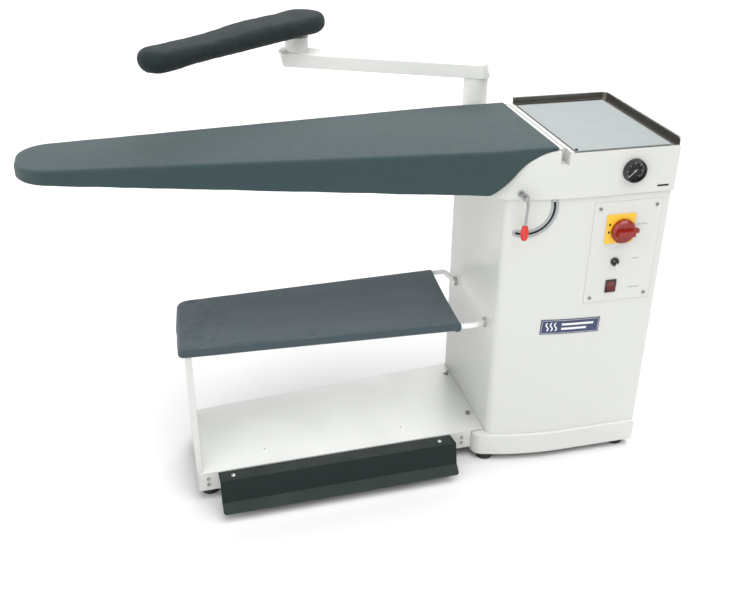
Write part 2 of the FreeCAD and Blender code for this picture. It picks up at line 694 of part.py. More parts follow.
def controls():
    front = "-cab_deep/2"
    face = "-cab_deep/2 - panel_thick"
    blank = box("panel_blank", "panel_left", face, "panel_low", "panel_wide", "panel_thick", "panel_high")
    holes = [
        rod(f"panel_screw_hole_{k}", x, "-cab_deep/2 - 4", z, 2.1, 8, "y")
        for k, (x, z) in enumerate(panel_screw_places())
    ]
    holes.append(rod("switch_shaft_hole", "switch_x", "-cab_deep/2 - 4", "switch_z", 9, 8, "y"))
    holes.append(rod("toggle_hole", "toggle_x", "-cab_deep/2 - 4", "toggle_z", 5.6, 8, "y"))
    holes.append(box("rocker_hole", "rocker_x - rocker_wide/2 + rocker_border", "-cab_deep/2 - 4",
                     "rocker_z - rocker_high/2 + rocker_border", "rocker_wide - 2*rocker_border", 8,
                     "rocker_high - 2*rocker_border"))
    node("control_panel", cut("panel_sheet", blank, *holes))

    plate = box("switch_square", "switch_plate_x - switch_plate_wide/2", f"{face} - switch_plate_thick",
                "switch_plate_z - switch_plate_high/2", "switch_plate_wide", "switch_plate_thick",
                "switch_plate_high")
    body = rod("switch_body", "switch_x", f"{face}", "switch_z", 8.9, 45, "y")
    shaft_way = rod("switch_way", "switch_x", "-cab_deep/2 - 20", "switch_z", 5.05, 50, "y")
    marks = [
        rod(f"plate_hole_{k}", "switch_plate_x - switch_plate_wide/2 + 6.5", f"{face} - 8",
            f"switch_plate_z + {rise}", 2.6, 6, "y")
        for k, rise in enumerate((-8, 12))
    ]
    node("switch_plate", cut("switch_mount", joined("switch_fixed", plate, body), shaft_way, *marks))

    handle_back = f"{face} - switch_plate_thick - 0.5"
    disc = turned(
        "handle_disc",
        [("0", "0"), ("handle_radius", "0"), ("handle_radius", "9"), ("handle_radius - 5", "15"), ("0", "16")],
        "switch_x", handle_back, "switch_z", "-y",
    )
    shaft = rod("handle_shaft", "switch_x", handle_back, "switch_z", 5, 24, "y")
    grip = box("handle_grip", "switch_x - 22", f"{handle_back} - 27", "switch_z - 7.5", 44, 14, 15)
    tip = box("handle_tip", "switch_x + 20", f"{handle_back} - 12", "switch_z - 5", 19, 11, 10)
    node("switch_handle", joined("handle_pieces", disc, shaft, grip, tip))

    nut = tube("toggle_ring", "toggle_x", face, "toggle_z", "toggle_radius", 4.65, 5, "-y")
    node("toggle_nut", nut)
    ball = doc.addObject("Part::Sphere", "toggle_ball")
    ball.Radius = 4.6
    settle(ball, "toggle_x", f"{front} - 1", "toggle_z")
    bat = doc.addObject("Part::Cone", "toggle_bat")
    bat.Radius1 = 2.0
    bat.Radius2 = 3.0
    bat.Height = 19
    settle(bat, "toggle_x", f"{front} - 1", "toggle_z", "-y")
    bat.Placement = Placement(bat.Placement.Base, Rotation(Vector(1, 0, 0), 102))
    node("toggle_lever", joined("toggle_pieces", ball, bat))

    bezel = box("rocker_border", "rocker_x - rocker_wide/2", f"{face} - 3", "rocker_z - rocker_high/2",
                "rocker_wide", 3, "rocker_high")
    well = box("rocker_well", "rocker_x - rocker_wide/2 + rocker_border + 0.1", face,
               "rocker_z - rocker_high/2 + rocker_border + 0.1", "rocker_wide - 2*rocker_border - 0.2", 22,
               "rocker_high - 2*rocker_border - 0.2")
    inside = box("rocker_inside", "rocker_x - rocker_wide/2 + rocker_border + 1.2", f"{face} - 4",
                 "rocker_z - rocker_high/2 + rocker_border + 1.2", "rocker_wide - 2*rocker_border - 2.4",
                 24, "rocker_high - 2*rocker_border - 2.4")
    node("rocker_bezel", cut("rocker_frame", joined("rocker_fixed", bezel, well), inside))
    paddle = turned_rocker()
    node("rocker", paddle)

    band = prism(cabinet_outline(1.2), d.plate_low - 20, d.plate_low + d.plate_high + 20)
    band = band.cut(prism(cabinet_outline(0.05), d.plate_low - 21, d.plate_low + d.plate_high + 21))
    corner = Vector(d.plate_left, -d.cab_deep / 2 - 5, d.plate_low)
    window = Part.makeBox(d.plate_wide, 60, d.plate_high, corner)
    middle = corner + Vector(d.plate_wide / 2, 0, d.plate_high / 2)
    window.rotate(middle, BACKWARD, d.plate_tilt)
    node("nameplate", feature("nameplate_strip", band.common(window)))


def turned_rocker():
    """The rocker's paddle, a shallow V seen from the side, tipped to one side at rest."""
    body = doc.addObject("PartDesign::Body", "rocker_paddle")
    outline = outline_sketch(
        body, "YZ_Plane", [("5", "-12.6"), ("-3", "-12.6"), ("-1.2", "0"), ("-3", "12.6"), ("5", "12.6")]
    )
    pad = body.newObject("PartDesign::Pad", "rocker_pad")
    pad.Profile = outline
    pad.Length = 20.8
    pad.Midplane = True
    settle(body, "rocker_x", "-cab_deep/2 - panel_thick - 1.5", "rocker_z")
    body.Placement = Placement(body.Placement.Base, Rotation(Vector(1, 0, 0), -7))
    return body


# ---------------------------------------------------------------- vacuum selector


def selector():
    face = -d.cab_deep / 2
    trim = curved_slot(d.slot_half + d.slot_trim, -260, 160)
    trim = trim.cut(curved_slot(d.slot_half, -262, 164))
    band = prism(cabinet_outline(1.4), 600, d.cab_seam - 1).cut(prism(cabinet_outline(0.05), 590, 790))
    node("selector_trim", feature("slot_trim_ring", trim.common(band)))

    bush = tube("bush_sleeve", "lever_x", "-cab_deep/2 + 14", "lever_z", 8, "lever_radius + 0.05", 14, "y")
    node("selector_bush", bush)
    shaft_start = face - d.lever_proud
    shaft = Part.makeCylinder(d.lever_radius, 118 + d.lever_proud, Vector(d.lever_x, shaft_start, d.lever_z), BACKWARD)
    collar = Part.makeCylinder(9, 6, Vector(d.lever_x, shaft_start + 4, d.lever_z), BACKWARD)
    flat = Part.makeBox(20, 74, 20, Vector(d.lever_x + 2.5, face + 46, d.lever_z - 10))
    arm_y = shaft_start + 7
    knob_x, knob_z = d.lever_x + 5, d.lever_z - 78
    arm = bent_pipe(
        [
            Vector(d.lever_x + 4, arm_y, d.lever_z - 4),
            Vector(d.lever_x + 8, arm_y, d.lever_z - 16),
            Vector(knob_x, arm_y, knob_z + 4),
        ],
        d.rod_radius,
        [14],
    )
    crank = shaft.fuse([collar, arm]).cut(flat).removeSplitter()
    node("selector_shaft", feature("selector_spindle", crank))
    knob = turned(
        "knob_body",
        [("0", "-19"), ("6", "-18"), ("9.5", "-10"), ("10", "2"), ("8", "12"), ("5", "18"), ("0", "19")],
        knob_x, arm_y, knob_z - 10,
    )
    knob_way = rod("knob_way", knob_x, arm_y, knob_z + 1, "rod_radius + 0.4", 12)
    knob_way.Placement = Placement(knob_way.Placement.Base, Rotation(Vector(0, 1, 0), 3))
    node("selector_knob", cut("selector_grip", knob, knob_way))

    blade = Part.makeBox(2.4, 70, 44, Vector(d.lever_x + 2.6, face + 48, d.lever_z - 22))
    node("diverter_flap", feature("flap_blade", blade))

    left, near = d.lever_x - 28, face + 44
    duct = Part.makeBox(60, 80, 100, Vector(left, near, d.lever_z - 48))
    inner = Part.makeBox(54, 74, 104, Vector(left + 3, near + 3, d.lever_z - 50))
    below_roof = slab_between(board_under(-5.2)[2:], 700)
    duct = duct.common(below_roof).cut(inner)
    duct = duct.cut(hole(d.lever_x, near - 5, d.lever_z, d.lever_radius + 0.05, 90, BACKWARD))
    node("diverter_duct", feature("duct_walls", duct))


# ---------------------------------------------------------------- ironing board


def board():
    above_hem = slab_between(board_under(0), 900)
    cover = board_outline(0, 740, d.board_top).common(above_hem)
    cover = cover.cut(board_outline(d.cover_thick, 730, d.board_top - d.cover_thick))
    node("board_cover", feature("cover_cloth", cover))

    pad_top = d.board_top - d.cover_thick - 0.3
    pad = board_outline(d.cover_thick + 0.5, d.pad_low, pad_top)
    pad = pad.common(slab_between(board_under(3), 900))
    node("board_pad", feature("foam_pad", pad))

    above_pan = slab_between(board_under(6), 900)
    plate = board_outline(d.cover_thick + 1.5, d.pad_low - 0.3 - d.plate_thick, d.pad_low - 0.3)
    plate = plate.common(above_pan)
    for column in range(9):
        for row in (-1, 0, 1):
            x = -930 + column * 112
            spread = 34 + 5.5 * column
            plate = plate.cut(hole(x, row * spread, d.pad_low - 10, 4, 20, UP))
    node("board_plate", feature("perforated_plate", plate))

    pan_top = d.pad_low - 0.6 - d.plate_thick
    pan = board_outline(d.cover_thick + 0.5, 740, pan_top).common(slab_between(board_under(2), 900))
    hollow = board_outline(d.cover_thick + 0.5 + d.pan_skin, 730, pan_top + 5)
    pan = pan.cut(hollow.common(slab_between(board_under(2 + d.pan_skin), 900)))
    pan = pan.cut(air_port(0))
    node("board_pan", feature("vacuum_pan", pan))

    level = pan_top - 7
    start, end, reach = -120, -720, 58
    element = bent_pipe(
        [
            Vector(start, -reach, level),
            Vector(end, -reach, level),
            Vector(end, reach, level),
            Vector(start, reach, level),
        ],
        4,
        [40, 40],
    )
    node("board_heater", feature("heater_rod", element))


# ---------------------------------------------------------------- garment shelf, lower shelf, leg


def rail_points():
    """The garment frame's route: one tube from the front ferrule round to the back ferrule."""
    ends = [Vector(-3, -d.ferrule_front, d.ferrule_high), Vector(-3, d.ferrule_back, d.ferrule_high)]
    corners = [
        Vector(-d.rail_turn, -d.rail_wide_front, d.rail_high),
        Vector(-d.rail_corner, -d.rail_slim_front, d.rail_high),
        Vector(-d.rail_left, d.rail_slim, d.rail_high),
        Vector(-d.rail_turn + 16, d.rail_wide, d.rail_high),
    ]
    first = ends[0] + (ends[0] - corners[0]).normalize() * d.rail_tail
    last = ends[1] + (ends[1] - corners[3]).normalize() * d.rail_tail
    return [first] + corners + [last]


def garment_shelf():
    frame_tube = bent_pipe(rail_points(), d.rail_radius, RAIL_BENDS)
    node("garment_frame", feature("frame_tube", frame_tube))

    snug = bent_pipe(rail_points(), d.rail_radius + 0.1, RAIL_BENDS)
    ferrules = []
    for y in (-d.ferrule_front, d.ferrule_back):
        ferrules.append(Part.makeCylinder(13, 9, Vector(0, y, d.ferrule_high), LEFT))
    rings = [max(ferrule.cut(snug).Solids, key=lambda solid: solid.Volume) for ferrule in ferrules]
    node("frame_ferrules", feature("ferrule_pair", Part.makeCompound(rings)))

    wrap = d.rail_radius + 0.3 + d.sling_thick
    low, high = d.rail_high - wrap, d.rail_high + wrap

    def plan(grow):
        """The sling seen from above, grown across its hems."""
        front_right = Vector(-d.sling_right, -d.rail_wide_front - grow, 0)
        back_right = Vector(-d.sling_right_back, d.rail_wide + grow, 0)
        back_left = Vector(-d.rail_left - grow, d.rail_slim + grow, 0)
        front_left = Vector(-d.rail_corner - grow, -d.rail_slim_front - grow, 0)
        return Part.makePolygon([front_left, front_right, back_right, back_left, front_left])

    cloth = prism(plan(wrap), low, high)
    cloth = cloth.cut(prism(plan(-wrap), low - 1, high - d.sling_thick))
    clear_tube = bent_pipe(rail_points(), d.rail_radius + 0.3, RAIL_BENDS)
    cloth = cloth.cut(clear_tube)
    node("garment_sling", feature("sling_cloth", cloth))


def skewed(shape):
    """Turns a shape with the shelf's front edge, about the shelf's front left corner."""
    shape.rotate(Vector(-d.shelf_left, -d.shelf_front, 0), UP, d.shelf_skew)
    return shape


def shelf_bolt_places():
    """The two bolts that hold the shelf down on the plinth."""
    return [(-20, -70), (-16, 136)]


def lower_shelf():
    skin = d.shelf_skin
    left = -d.shelf_left
    low = d.shelf_top - d.shelf_flange
    front_slope = math.tan(math.radians(d.shelf_skew))
    back_slope = (d.shelf_back_wide - d.shelf_back_slim) / d.shelf_left

    def plan(inset, right):
        """The shelf seen from above, inset all round but cut square at its right end."""
        front_left = Vector(left + inset, -d.shelf_front + inset, 0)
        front_right = Vector(right, -d.shelf_front + front_slope * (right - left) + inset, 0)
        back_right = Vector(right, d.shelf_back_wide + back_slope * right - inset, 0)
        back_left = Vector(left + inset, d.shelf_back_slim - inset, 0)
        return Part.makePolygon([front_left, front_right, back_right, back_left, front_left])

    top = prism(plan(0, -0.2), d.shelf_top - skin, d.shelf_top)
    skirt_right = -d.plinth_proud - d.plinth_shift - d.plinth_flare - 0.5
    skirt = prism(plan(0, skirt_right), low, d.shelf_top - skin / 2)
    skirt = skirt.cut(prism(plan(skin, 5), low - 1, d.shelf_top - skin / 2 + 1))
    shelf = top.fuse(skirt).removeSplitter()
    for x in pedal_arm_places():
        notch = Part.makeBox(12, 10, 46, Vector(x - 6, -d.shelf_front - 4, low - 1))
        shelf = shelf.cut(skewed(notch))
    for x, y in shelf_bolt_places():
        shelf = shelf.cut(hole(x, y, d.shelf_top - 6, 4.1, 12, UP))
    for x in shelf_screw_columns():
        for z in (d.shelf_top - 18, d.shelf_top - 35):
            shelf = shelf.cut(skewed(hole(x, -d.shelf_front - 2, z, 2.6, 8, BACKWARD)))
    for x in pedal_bracket_places():
        shelf = shelf.cut(skewed(hole(x + 9, -d.pedal_axis_y, d.shelf_top - 6, 2.1, 12, UP)))
    node("lower_shelf", feature("shelf_sheet", shelf))

    bolts = [hexagon(x, y, d.shelf_top, 7, 6.5) for x, y in shelf_bolt_places()]
    for x in shelf_screw_columns():
        for z in (d.shelf_top - 18, d.shelf_top - 35):
            head_cap = hole(x, -d.shelf_front, z, 4.4, 2.4, FORWARD)
            bolts.append(skewed(head_cap.fuse(hole(x, -d.shelf_front, z, 2.5, 7, BACKWARD))))
    node("shelf_bolts", feature("bolt_group", Part.makeCompound(bolts)))
    side_leg()


def side_leg():
    """The sheet leg at the shelf's left end: folded along both edges and narrower at its top."""
    face, skin = -d.shelf_left - 2.4, 2.2
    front, back = -d.shelf_front + 2, -d.shelf_front + 264
    low, fold_low, top = 32, d.shelf_top + 1, d.leg_top
    lean = d.leg_lean / (top - low)

    def front_edge(z):
        return front + lean * (z - low)

    def side(corners, thick):
        """A shape drawn in the yz plane and pushed to the right."""
        points = [Vector(face, y, z) for y, z in corners]
        return Part.Face(Part.makePolygon(points + points[:1])).extrude(Vector(thick, 0, 0))

    panel = side([(front_edge(low), low), (back, low), (back, top), (front_edge(top), top)], skin)
    near_fold = side(
        [
            (front_edge(fold_low), fold_low),
            (front_edge(fold_low) + skin, fold_low),
            (front_edge(top) + skin, top),
            (front_edge(top), top),
        ],
        d.leg_fold,
    )
    far_fold = side([(back - skin, fold_low), (back, fold_low), (back, top), (back - skin, top)], d.leg_fold)
    saddle_low = top - skin
    saddle = side(
        [(front_edge(saddle_low), saddle_low), (back, saddle_low), (back, top), (front_edge(top), top)],
        d.leg_fold,
    )
    node("side_leg", feature("leg_sheet", panel.fuse([near_fold, far_fold, saddle]).removeSplitter()))


def hexagon(x, y, z, radius, thick):
    """A hexagon bolt standing on a surface, with its shank below."""
    turns = [math.radians(60 * k) for k in range(7)]
    ring = [Vector(x + radius * math.cos(a), y + radius * math.sin(a), z) for a in turns]
    cap = Part.Face(Part.makePolygon(ring)).extrude(Vector(0, 0, thick))
    return cap.fuse(hole(x, y, z - 10, 4.0, 10, UP))


def shelf_screw_columns():
    """Where the front edge carries two screws, one above the other."""
    return (-733, -62)


def pedal_arm_places():
    """The pedal's two arms, x of their middles."""
    return (-600, -210)


def pedal_bracket_places():
    """The two hinge brackets under the shelf, x of their left faces."""
    return (-590, -223)


# ---------------------------------------------------------------- pedal


def pedal():
    skin = d.pedal_skin
    crest = [Vector(0, -178, 93), Vector(0, -226, 101), Vector(0, -238, 44), Vector(0, -262, 26)]
    under = [Vector(0, -260, 24), Vector(0, -235.6, 42.2), Vector(0, -224, 98.2), Vector(0, -178, 90.5)]
    wall = Part.Face(Part.makePolygon(crest + under + crest[:1]))
    wall.translate(Vector(-d.pedal_left, 0, 0))
    tread = wall.extrude(Vector(d.pedal_left - d.pedal_right, 0, 0))
    corners = [
        edge for edge in tread.Edges
        if edge.BoundBox.XLength < 0.01 and edge.BoundBox.ZMax < 27 and edge.Length < 4
    ]
    tread = tread.makeFillet(8, corners)
    axis_y, axis_z = -d.pedal_axis_y, d.pedal_axis_z
    arms = []
    for x in pedal_arm_places():
        side = Part.Face(Part.makePolygon([
            Vector(x - 2.5, axis_y + 42, axis_z + 6), Vector(x - 2.5, axis_y + 42, axis_z - 8),
            Vector(x - 2.5, axis_y, axis_z - 10), Vector(x - 2.5, -236.2, 36),
            Vector(x - 2.5, -236.2, 42.8), Vector(x - 2.5, -224.4, 97.9),
            Vector(x - 2.5, -180, 90.5), Vector(x - 2.5, -180, 62), Vector(x - 2.5, axis_y, axis_z + 10),
            Vector(x - 2.5, axis_y + 42, axis_z + 6),
        ]))
        plate = side.extrude(Vector(5, 0, 0))
        arms.append(plate.cut(hole(x - 5, axis_y, axis_z, d.pedal_pin_radius + 0.05, 10, RIGHT)))
    holes = [hole(x, -203, 80, 3.1, 30, UP) for x in (-674, -140)]
    tread = tread.cut(Part.makeCompound(holes))
    node("pedal_plate", feature("pedal_sheet", skewed(tread.fuse(arms).removeSplitter())))

    rivets = []
    for x in (-674, -140):
        seat = Vector(x, -203, 97.25)
        dome = Part.makeSphere(7, seat - UP * 3.5, UP, 30, 90)
        rivet = dome.fuse(Part.makeCylinder(2.5, 3.4, seat - UP * 3.2))
        rivet.rotate(seat, RIGHT, -math.degrees(math.atan2(8, 48)))
        rivets.append(skewed(rivet))
    node("pedal_rivets", feature("rivet_pair", Part.makeCompound(rivets)))

    pin = skewed(hole(-610, axis_y, axis_z, d.pedal_pin_radius, 410, RIGHT))
    node("pedal_pin", feature("pedal_spindle", pin))

    brackets = []
    ceiling = d.shelf_top - skin
    for x in pedal_bracket_places():
        ear = Part.makeBox(3, 36, ceiling - axis_z + 10, Vector(x, axis_y - 18, axis_z - 10))
        tab = Part.makeBox(20, 36, 3, Vector(x, axis_y - 18, ceiling - 3))
        bracket = ear.fuse(tab).cut(hole(x - 5, axis_y, axis_z, d.pedal_pin_radius + 0.02, 20, RIGHT))
        brackets.append(skewed(bracket.cut(hole(x + 9, axis_y, ceiling - 10, 2.1, 20, UP))))
    node("pedal_brackets", feature("bracket_pair", Part.makeCompound(brackets)))

    fold = "(shelf_top - shelf_skin - pedal_axis_z - 8.4)/4"
    outline = [("0", "0"), ("9", "0")]
    for turn in range(4):
        outline.append(("6", f"{fold}*({turn} + 0.5)"))
        outline.append(("9", f"{fold}*({turn} + 1)"))
    outline.append(("0", f"{fold}*4"))
    spring_x = pedal_arm_places()[1]
    spring_y = f"-pedal_axis_y + 34 + ({spring_x} + shelf_left)*sin(shelf_skew*1deg)"
    spring = turned("rubber_bellows", outline, spring_x, spring_y, "pedal_axis_z + 8.2")
    node("pedal_spring", spring)

    switch = box("switch_case", pedal_arm_places()[0] + 8, "-pedal_axis_y + 28", "shelf_top - shelf_skin - 25",
                 20, 34, 24.9)
    node("pedal_switch", switch)


# ---------------------------------------------------------------- swing arm and sleeve buck


def arm_direction():
    reach = Vector(d.spigot_x - d.post_x, d.spigot_y - d.post_y, 0)
    return reach.normalize()


def arm_span():
    return math.hypot(d.spigot_x - d.post_x, d.spigot_y - d.post_y)


def swing_arm():
    back = d.cab_deep / 2
    socket_low, socket_high = d.post_low - 12, 716
    sleeve = Part.makeCylinder(38.5, socket_high - socket_low, Vector(d.post_x, d.post_y, socket_low))
    plate = Part.makeBox(104, 4, socket_high - socket_low + 24,
                         Vector(d.post_x - 44, back, socket_low - 12))
    webs = [
        Part.makeBox(30, 30, 12, Vector(d.post_x - 15, back + 2, z))
        for z in (socket_low + 2, socket_high - 16)
    ]
    socket = sleeve.fuse([plate] + webs)
    socket = socket.cut(
        Part.makeCylinder(d.post_radius + 0.06, socket_high, Vector(d.post_x, d.post_y, d.post_low - 1))
    )
    node("arm_socket", feature("socket_casting", socket.removeSplitter()))

    post = Part.makeCylinder(d.post_radius, d.arm_low + 4 - d.post_low, Vector(d.post_x, d.post_y, d.post_low))
    collar = Part.makeCylinder(37, 7, Vector(d.post_x, d.post_y, socket_high + 0.2))
    bore = Part.makeCylinder(d.post_radius - 3.5, 600, Vector(d.post_x, d.post_y, d.post_low - 5))
    node("arm_post", feature("lower_post", post.fuse(collar).cut(bore)))

    beam = arm_beam(0)
    hollow = arm_beam(d.arm_skin)
    long_edges = [
        edge for edge in beam.Edges
        if edge.Length > 300 and edge.BoundBox.ZMax > d.arm_low + d.arm_high - 0.1
    ]
    beam = beam.makeChamfer(4.5, long_edges)
    beam = beam.cut(hollow)
    beam = beam.cut(Part.makeCylinder(d.post_radius + 0.02, 10, Vector(d.post_x, d.post_y, d.arm_low - 5)))
    top = d.arm_low + d.arm_high
    spigot = Part.makeCylinder(d.spigot_radius, d.spigot_top - top, Vector(d.spigot_x, d.spigot_y, top))
    way = Part.makeCylinder(d.spigot_radius - 3.5, d.spigot_top - top + 12, Vector(d.spigot_x, d.spigot_y, top - 6))
    beam = beam.fuse(spigot).cut(way).removeSplitter()
    node("arm_beam", feature("arm_box", beam))


def arm_beam(inset):
    """The arm as a long box with its upright corners cut off and both ends slanting."""
    along = arm_direction()
    side = Vector(-along.y, along.x, 0)
    half = d.arm_half - inset
    near_reach = half + 4
    far_reach = half + 13.5
    cut_back = 15.0 - inset * 0.6
    start = Vector(d.post_x, d.post_y, 0)
    end = start + along * arm_span()
    outline = [
        start - along * near_reach + side * (half - cut_back),
        start - along * (near_reach - cut_back) + side * half,
        end + along * (far_reach - cut_back) + side * half,
        end + along * far_reach + side * (half - cut_back),
        end + along * far_reach - side * (half - cut_back),
        end + along * (far_reach - cut_back) - side * half,
        start - along * (near_reach - cut_back) - side * half,
        start - along * near_reach - side * (half - cut_back),
    ]
    low, high = d.arm_low + inset, d.arm_low + d.arm_high - inset
    solid = prism(Part.makePolygon(outline + outline[:1]), low, high)
    far_tip, near_tip = end + along * far_reach, start - along * near_reach
    for tip, inward, slant, top, bottom in (
        (far_tip, along * -1, 20.0, high + 1, low - 1),
        (near_tip, along, 10.0, low - 1, high + 1),
    ):
        wedge = Part.Face(Part.makePolygon([
            tip + Vector(0, 0, top) - side * 60 - inward,
            tip + Vector(0, 0, bottom) - side * 60 - inward,
            tip + Vector(0, 0, bottom) - side * 60 + inward * slant,
            tip + Vector(0, 0, top) - side * 60 - inward,
        ])).extrude(side * 120)
        solid = solid.cut(wedge)
    return solid


def buck_plan(inset):
    """The sleeve buck seen from above: round heel, long taper, round tip."""
    turn = math.radians(d.buck_turn)
    along = Vector(math.cos(turn), math.sin(turn), 0)
    side = Vector(-along.y, along.x, 0)
    middle = Vector(d.spigot_x, d.spigot_y, 0)
    heel_radius = d.buck_wide - inset
    tip_radius = d.buck_slim - inset
    heel = middle - along * (d.buck_heel - d.buck_wide)
    tip = middle + along * (d.buck_tip - d.buck_slim)
    lean = math.asin((heel_radius - tip_radius) / (tip - heel).Length)
    normals = [side * math.cos(lean) + along * math.sin(lean), side * -math.cos(lean) + along * math.sin(lean)]
    a, b = heel + normals[0] * heel_radius, tip + normals[0] * tip_radius
    c, e = tip + normals[1] * tip_radius, heel + normals[1] * heel_radius
    return Part.Wire([
        Part.LineSegment(a, b).toShape(),
        Part.Arc(b, tip + along * tip_radius, c).toShape(),
        Part.LineSegment(c, e).toShape(),
        Part.Arc(e, heel - along * heel_radius, a).toShape(),
    ])


def sleeve_buck():
    pan_top = d.buck_top - 18
    pan_low = d.buck_pad_low + 2
    pan = prism(buck_plan(26), pan_low, pan_top)
    pan = pan.cut(prism(buck_plan(29), pan_low + 3, pan_top - 3))
    hub_high = pan_low + 1 - d.buck_low
    hub = Part.makeCylinder(d.spigot_radius, hub_high, Vector(d.spigot_x, d.spigot_y, d.buck_low))
    swivel = Part.makeCylinder(d.spigot_radius - 3.56, 34, Vector(d.spigot_x, d.spigot_y, d.buck_low - 30))
    bore = Part.makeCylinder(d.spigot_radius - 9, 60, Vector(d.spigot_x, d.spigot_y, d.buck_low - 31))
    pan = pan.fuse([hub, swivel]).cut(bore)
    node("buck_pan", feature("buck_body", pan.removeSplitter()))

    cloth = prism(buck_plan(0), d.buck_pad_low, d.buck_top)
    rim = [e for e in cloth.Edges if abs(e.BoundBox.ZMin - e.BoundBox.ZMax) < 0.01]
    cloth = cloth.makeFillet(13, rim)
    cloth = cloth.cut(prism(buck_plan(25.4), d.buck_pad_low - 5, pan_top + 0.6))
    node("buck_cover", feature("buck_padding", cloth))


# ---------------------------------------------------------------- boiler, fan and electrics


def boiler():
    low, high, radius = d.boiler_low, d.boiler_high, d.boiler_radius
    x, y = d.boiler_x, d.boiler_y
    shell = Part.makeCylinder(radius, high, Vector(x, y, low))
    shell = shell.makeFillet(34, [e for e in shell.Edges if e.Closed and e.BoundBox.ZLength < 0.1])
    inner = Part.makeCylinder(radius - 4, high - 8, Vector(x, y, low + 4))
    inner = inner.makeFillet(30, [e for e in inner.Edges if e.Closed and e.BoundBox.ZLength < 0.1])
    shell = shell.cut(inner)
    legs = [
        Part.makeBox(14, 14, low + 22 - d.cab_low, Vector(x + 60 * side - 7, y - 7, d.cab_low + 0.1))
        for side in (-1, 1)
    ]
    shell = shell.fuse(legs)
    top = low + high
    for offset, bore in ((0, 8.1), (34, 6.1)):
        shell = shell.cut(hole(x + offset, y, top - 20, bore, 40, UP))
    shell = shell.cut(inner)
    shell = shell.cut(hole(x, y - radius - 5, low + 70, 20.1, 40, BACKWARD))
    node("boiler_tank", feature("boiler_shell", shell))

    jacket = Part.makeCylinder(radius + 12, high - 120, Vector(x, y, low + 100))
    jacket = jacket.cut(Part.makeCylinder(radius + 0.3, high, Vector(x, y, low)))
    node("boiler_jacket", feature("insulation_wrap", jacket))

    flange_y = y - radius
    plug = hole(x, flange_y - 12, low + 70, 20, 18, BACKWARD).fuse(
        hole(x, flange_y - 14, low + 70, 27, 6, BACKWARD)
    )
    rod_loop = bent_pipe(
        [
            Vector(x - 11, flange_y + 5, low + 70), Vector(x - 11, flange_y + 150, low + 70),
            Vector(x + 11, flange_y + 150, low + 70), Vector(x + 11, flange_y + 5, low + 70),
        ],
        4, [10.5, 10.5],
    )
    node("boiler_element", feature("immersion_heater", plug.fuse(rod_loop)))

    valve = Part.makeCylinder(8, 24, Vector(x, y, top - 5)).fuse(
        [Part.makeCylinder(13, 26, Vector(x, y, top + 14)), Part.makeCylinder(5, 14, Vector(x, y, top + 38))]
    )
    node("safety_valve", feature("safety_valve_body", valve))

    solenoid = Part.makeCylinder(6, 24, Vector(x + 34, y, top - 12)).fuse([
        Part.makeBox(36, 34, 26, Vector(x + 16, y - 17, top + 10)),
        Part.makeCylinder(17, 40, Vector(x + 34, y, top + 34)),
    ])
    node("steam_valve", feature("solenoid_valve", solenoid))


def fan():
    x, y, low, high, radius = d.fan_x, d.fan_y, d.fan_low, d.fan_high, d.fan_radius
    housing = Part.makeCylinder(radius, high, Vector(x, y, low))
    outlet = Part.makeBox(56, 150, high - 14, Vector(x - radius, y, low + 7))
    housing = housing.fuse(outlet)
    hollow = Part.makeCylinder(radius - 2.5, high - 5, Vector(x, y, low + 2.5)).fuse(
        Part.makeBox(51, 160, high - 19, Vector(x - radius + 2.5, y, low + 9.5))
    )
    housing = housing.cut(hollow)
    housing = housing.cut(hole(x, y, low + high - 10, 32, 30, UP))
    housing = housing.cut(hole(x, y, low - 5, 14, 20, UP))
    bracket = Part.makeBox(x - 30, 110, 5, Vector(d.cab_skin + 0.1, y - 55, low))
    housing = housing.fuse(bracket).cut(hollow).cut(hole(x, y, low - 5, 14, 20, UP))
    node("fan_housing", feature("fan_scroll", housing.removeSplitter()))

    disc = Part.makeCylinder(66, 2.5, Vector(x, y, low + 8))
    ring = Part.makeCylinder(66, 2, Vector(x, y, low + 50)).cut(Part.makeCylinder(40, 4, Vector(x, y, low + 49)))
    hub = Part.makeCylinder(12, 26, Vector(x, y, low + 8))
    blades = []
    for k in range(9):
        blade = Part.makeBox(22, 2, 42, Vector(x + 42, y, low + 9))
        blade.rotate(Vector(x + 42, y, 0), UP, 28)
        blade.rotate(Vector(x, y, 0), UP, 40 * k)
        blades.append(blade)
    shaft = Part.makeCylinder(6, 60, Vector(x, y, low - 34))
    wheel = disc.fuse([ring, hub, shaft] + blades)
    node("fan_impeller", feature("impeller_wheel", wheel.removeSplitter()))

    motor = Part.makeCylinder(58, 108, Vector(x, y, low - 112))
    motor = motor.fuse(Part.makeCylinder(24, 3.8, Vector(x, y, low - 4)))
    motor = motor.cut(Part.makeCylinder(6.05, 50, Vector(x, y, low - 40)))
    node("fan_motor", feature("motor_case", motor))

    top = low + high
    duct_low, duct_high = top + 0.2, d.lever_z - 48.2
    left, near = d.lever_x - 28, -d.cab_deep / 2 + 44
    upper = rectangle(left, near, 60, 80, duct_high)
    lower = rectangle(x - 36, y - 36, 72, 72, duct_low)
    walls = Part.makeLoft([lower, upper], True, True)
    upper_in = rectangle(left + 3, near + 3, 54, 74, duct_high)
    lower_in = rectangle(x - 33, y - 33, 66, 66, duct_low)
    node("suction_duct", feature("duct_boot", walls.cut(Part.makeLoft([lower_in, upper_in], True, True))))


def rectangle(x, y, wide, deep, z):
    corners = [Vector(x, y, z), Vector(x + wide, y, z), Vector(x + wide, y + deep, z), Vector(x, y + deep, z)]
    return Part.makePolygon(corners + corners[:1])


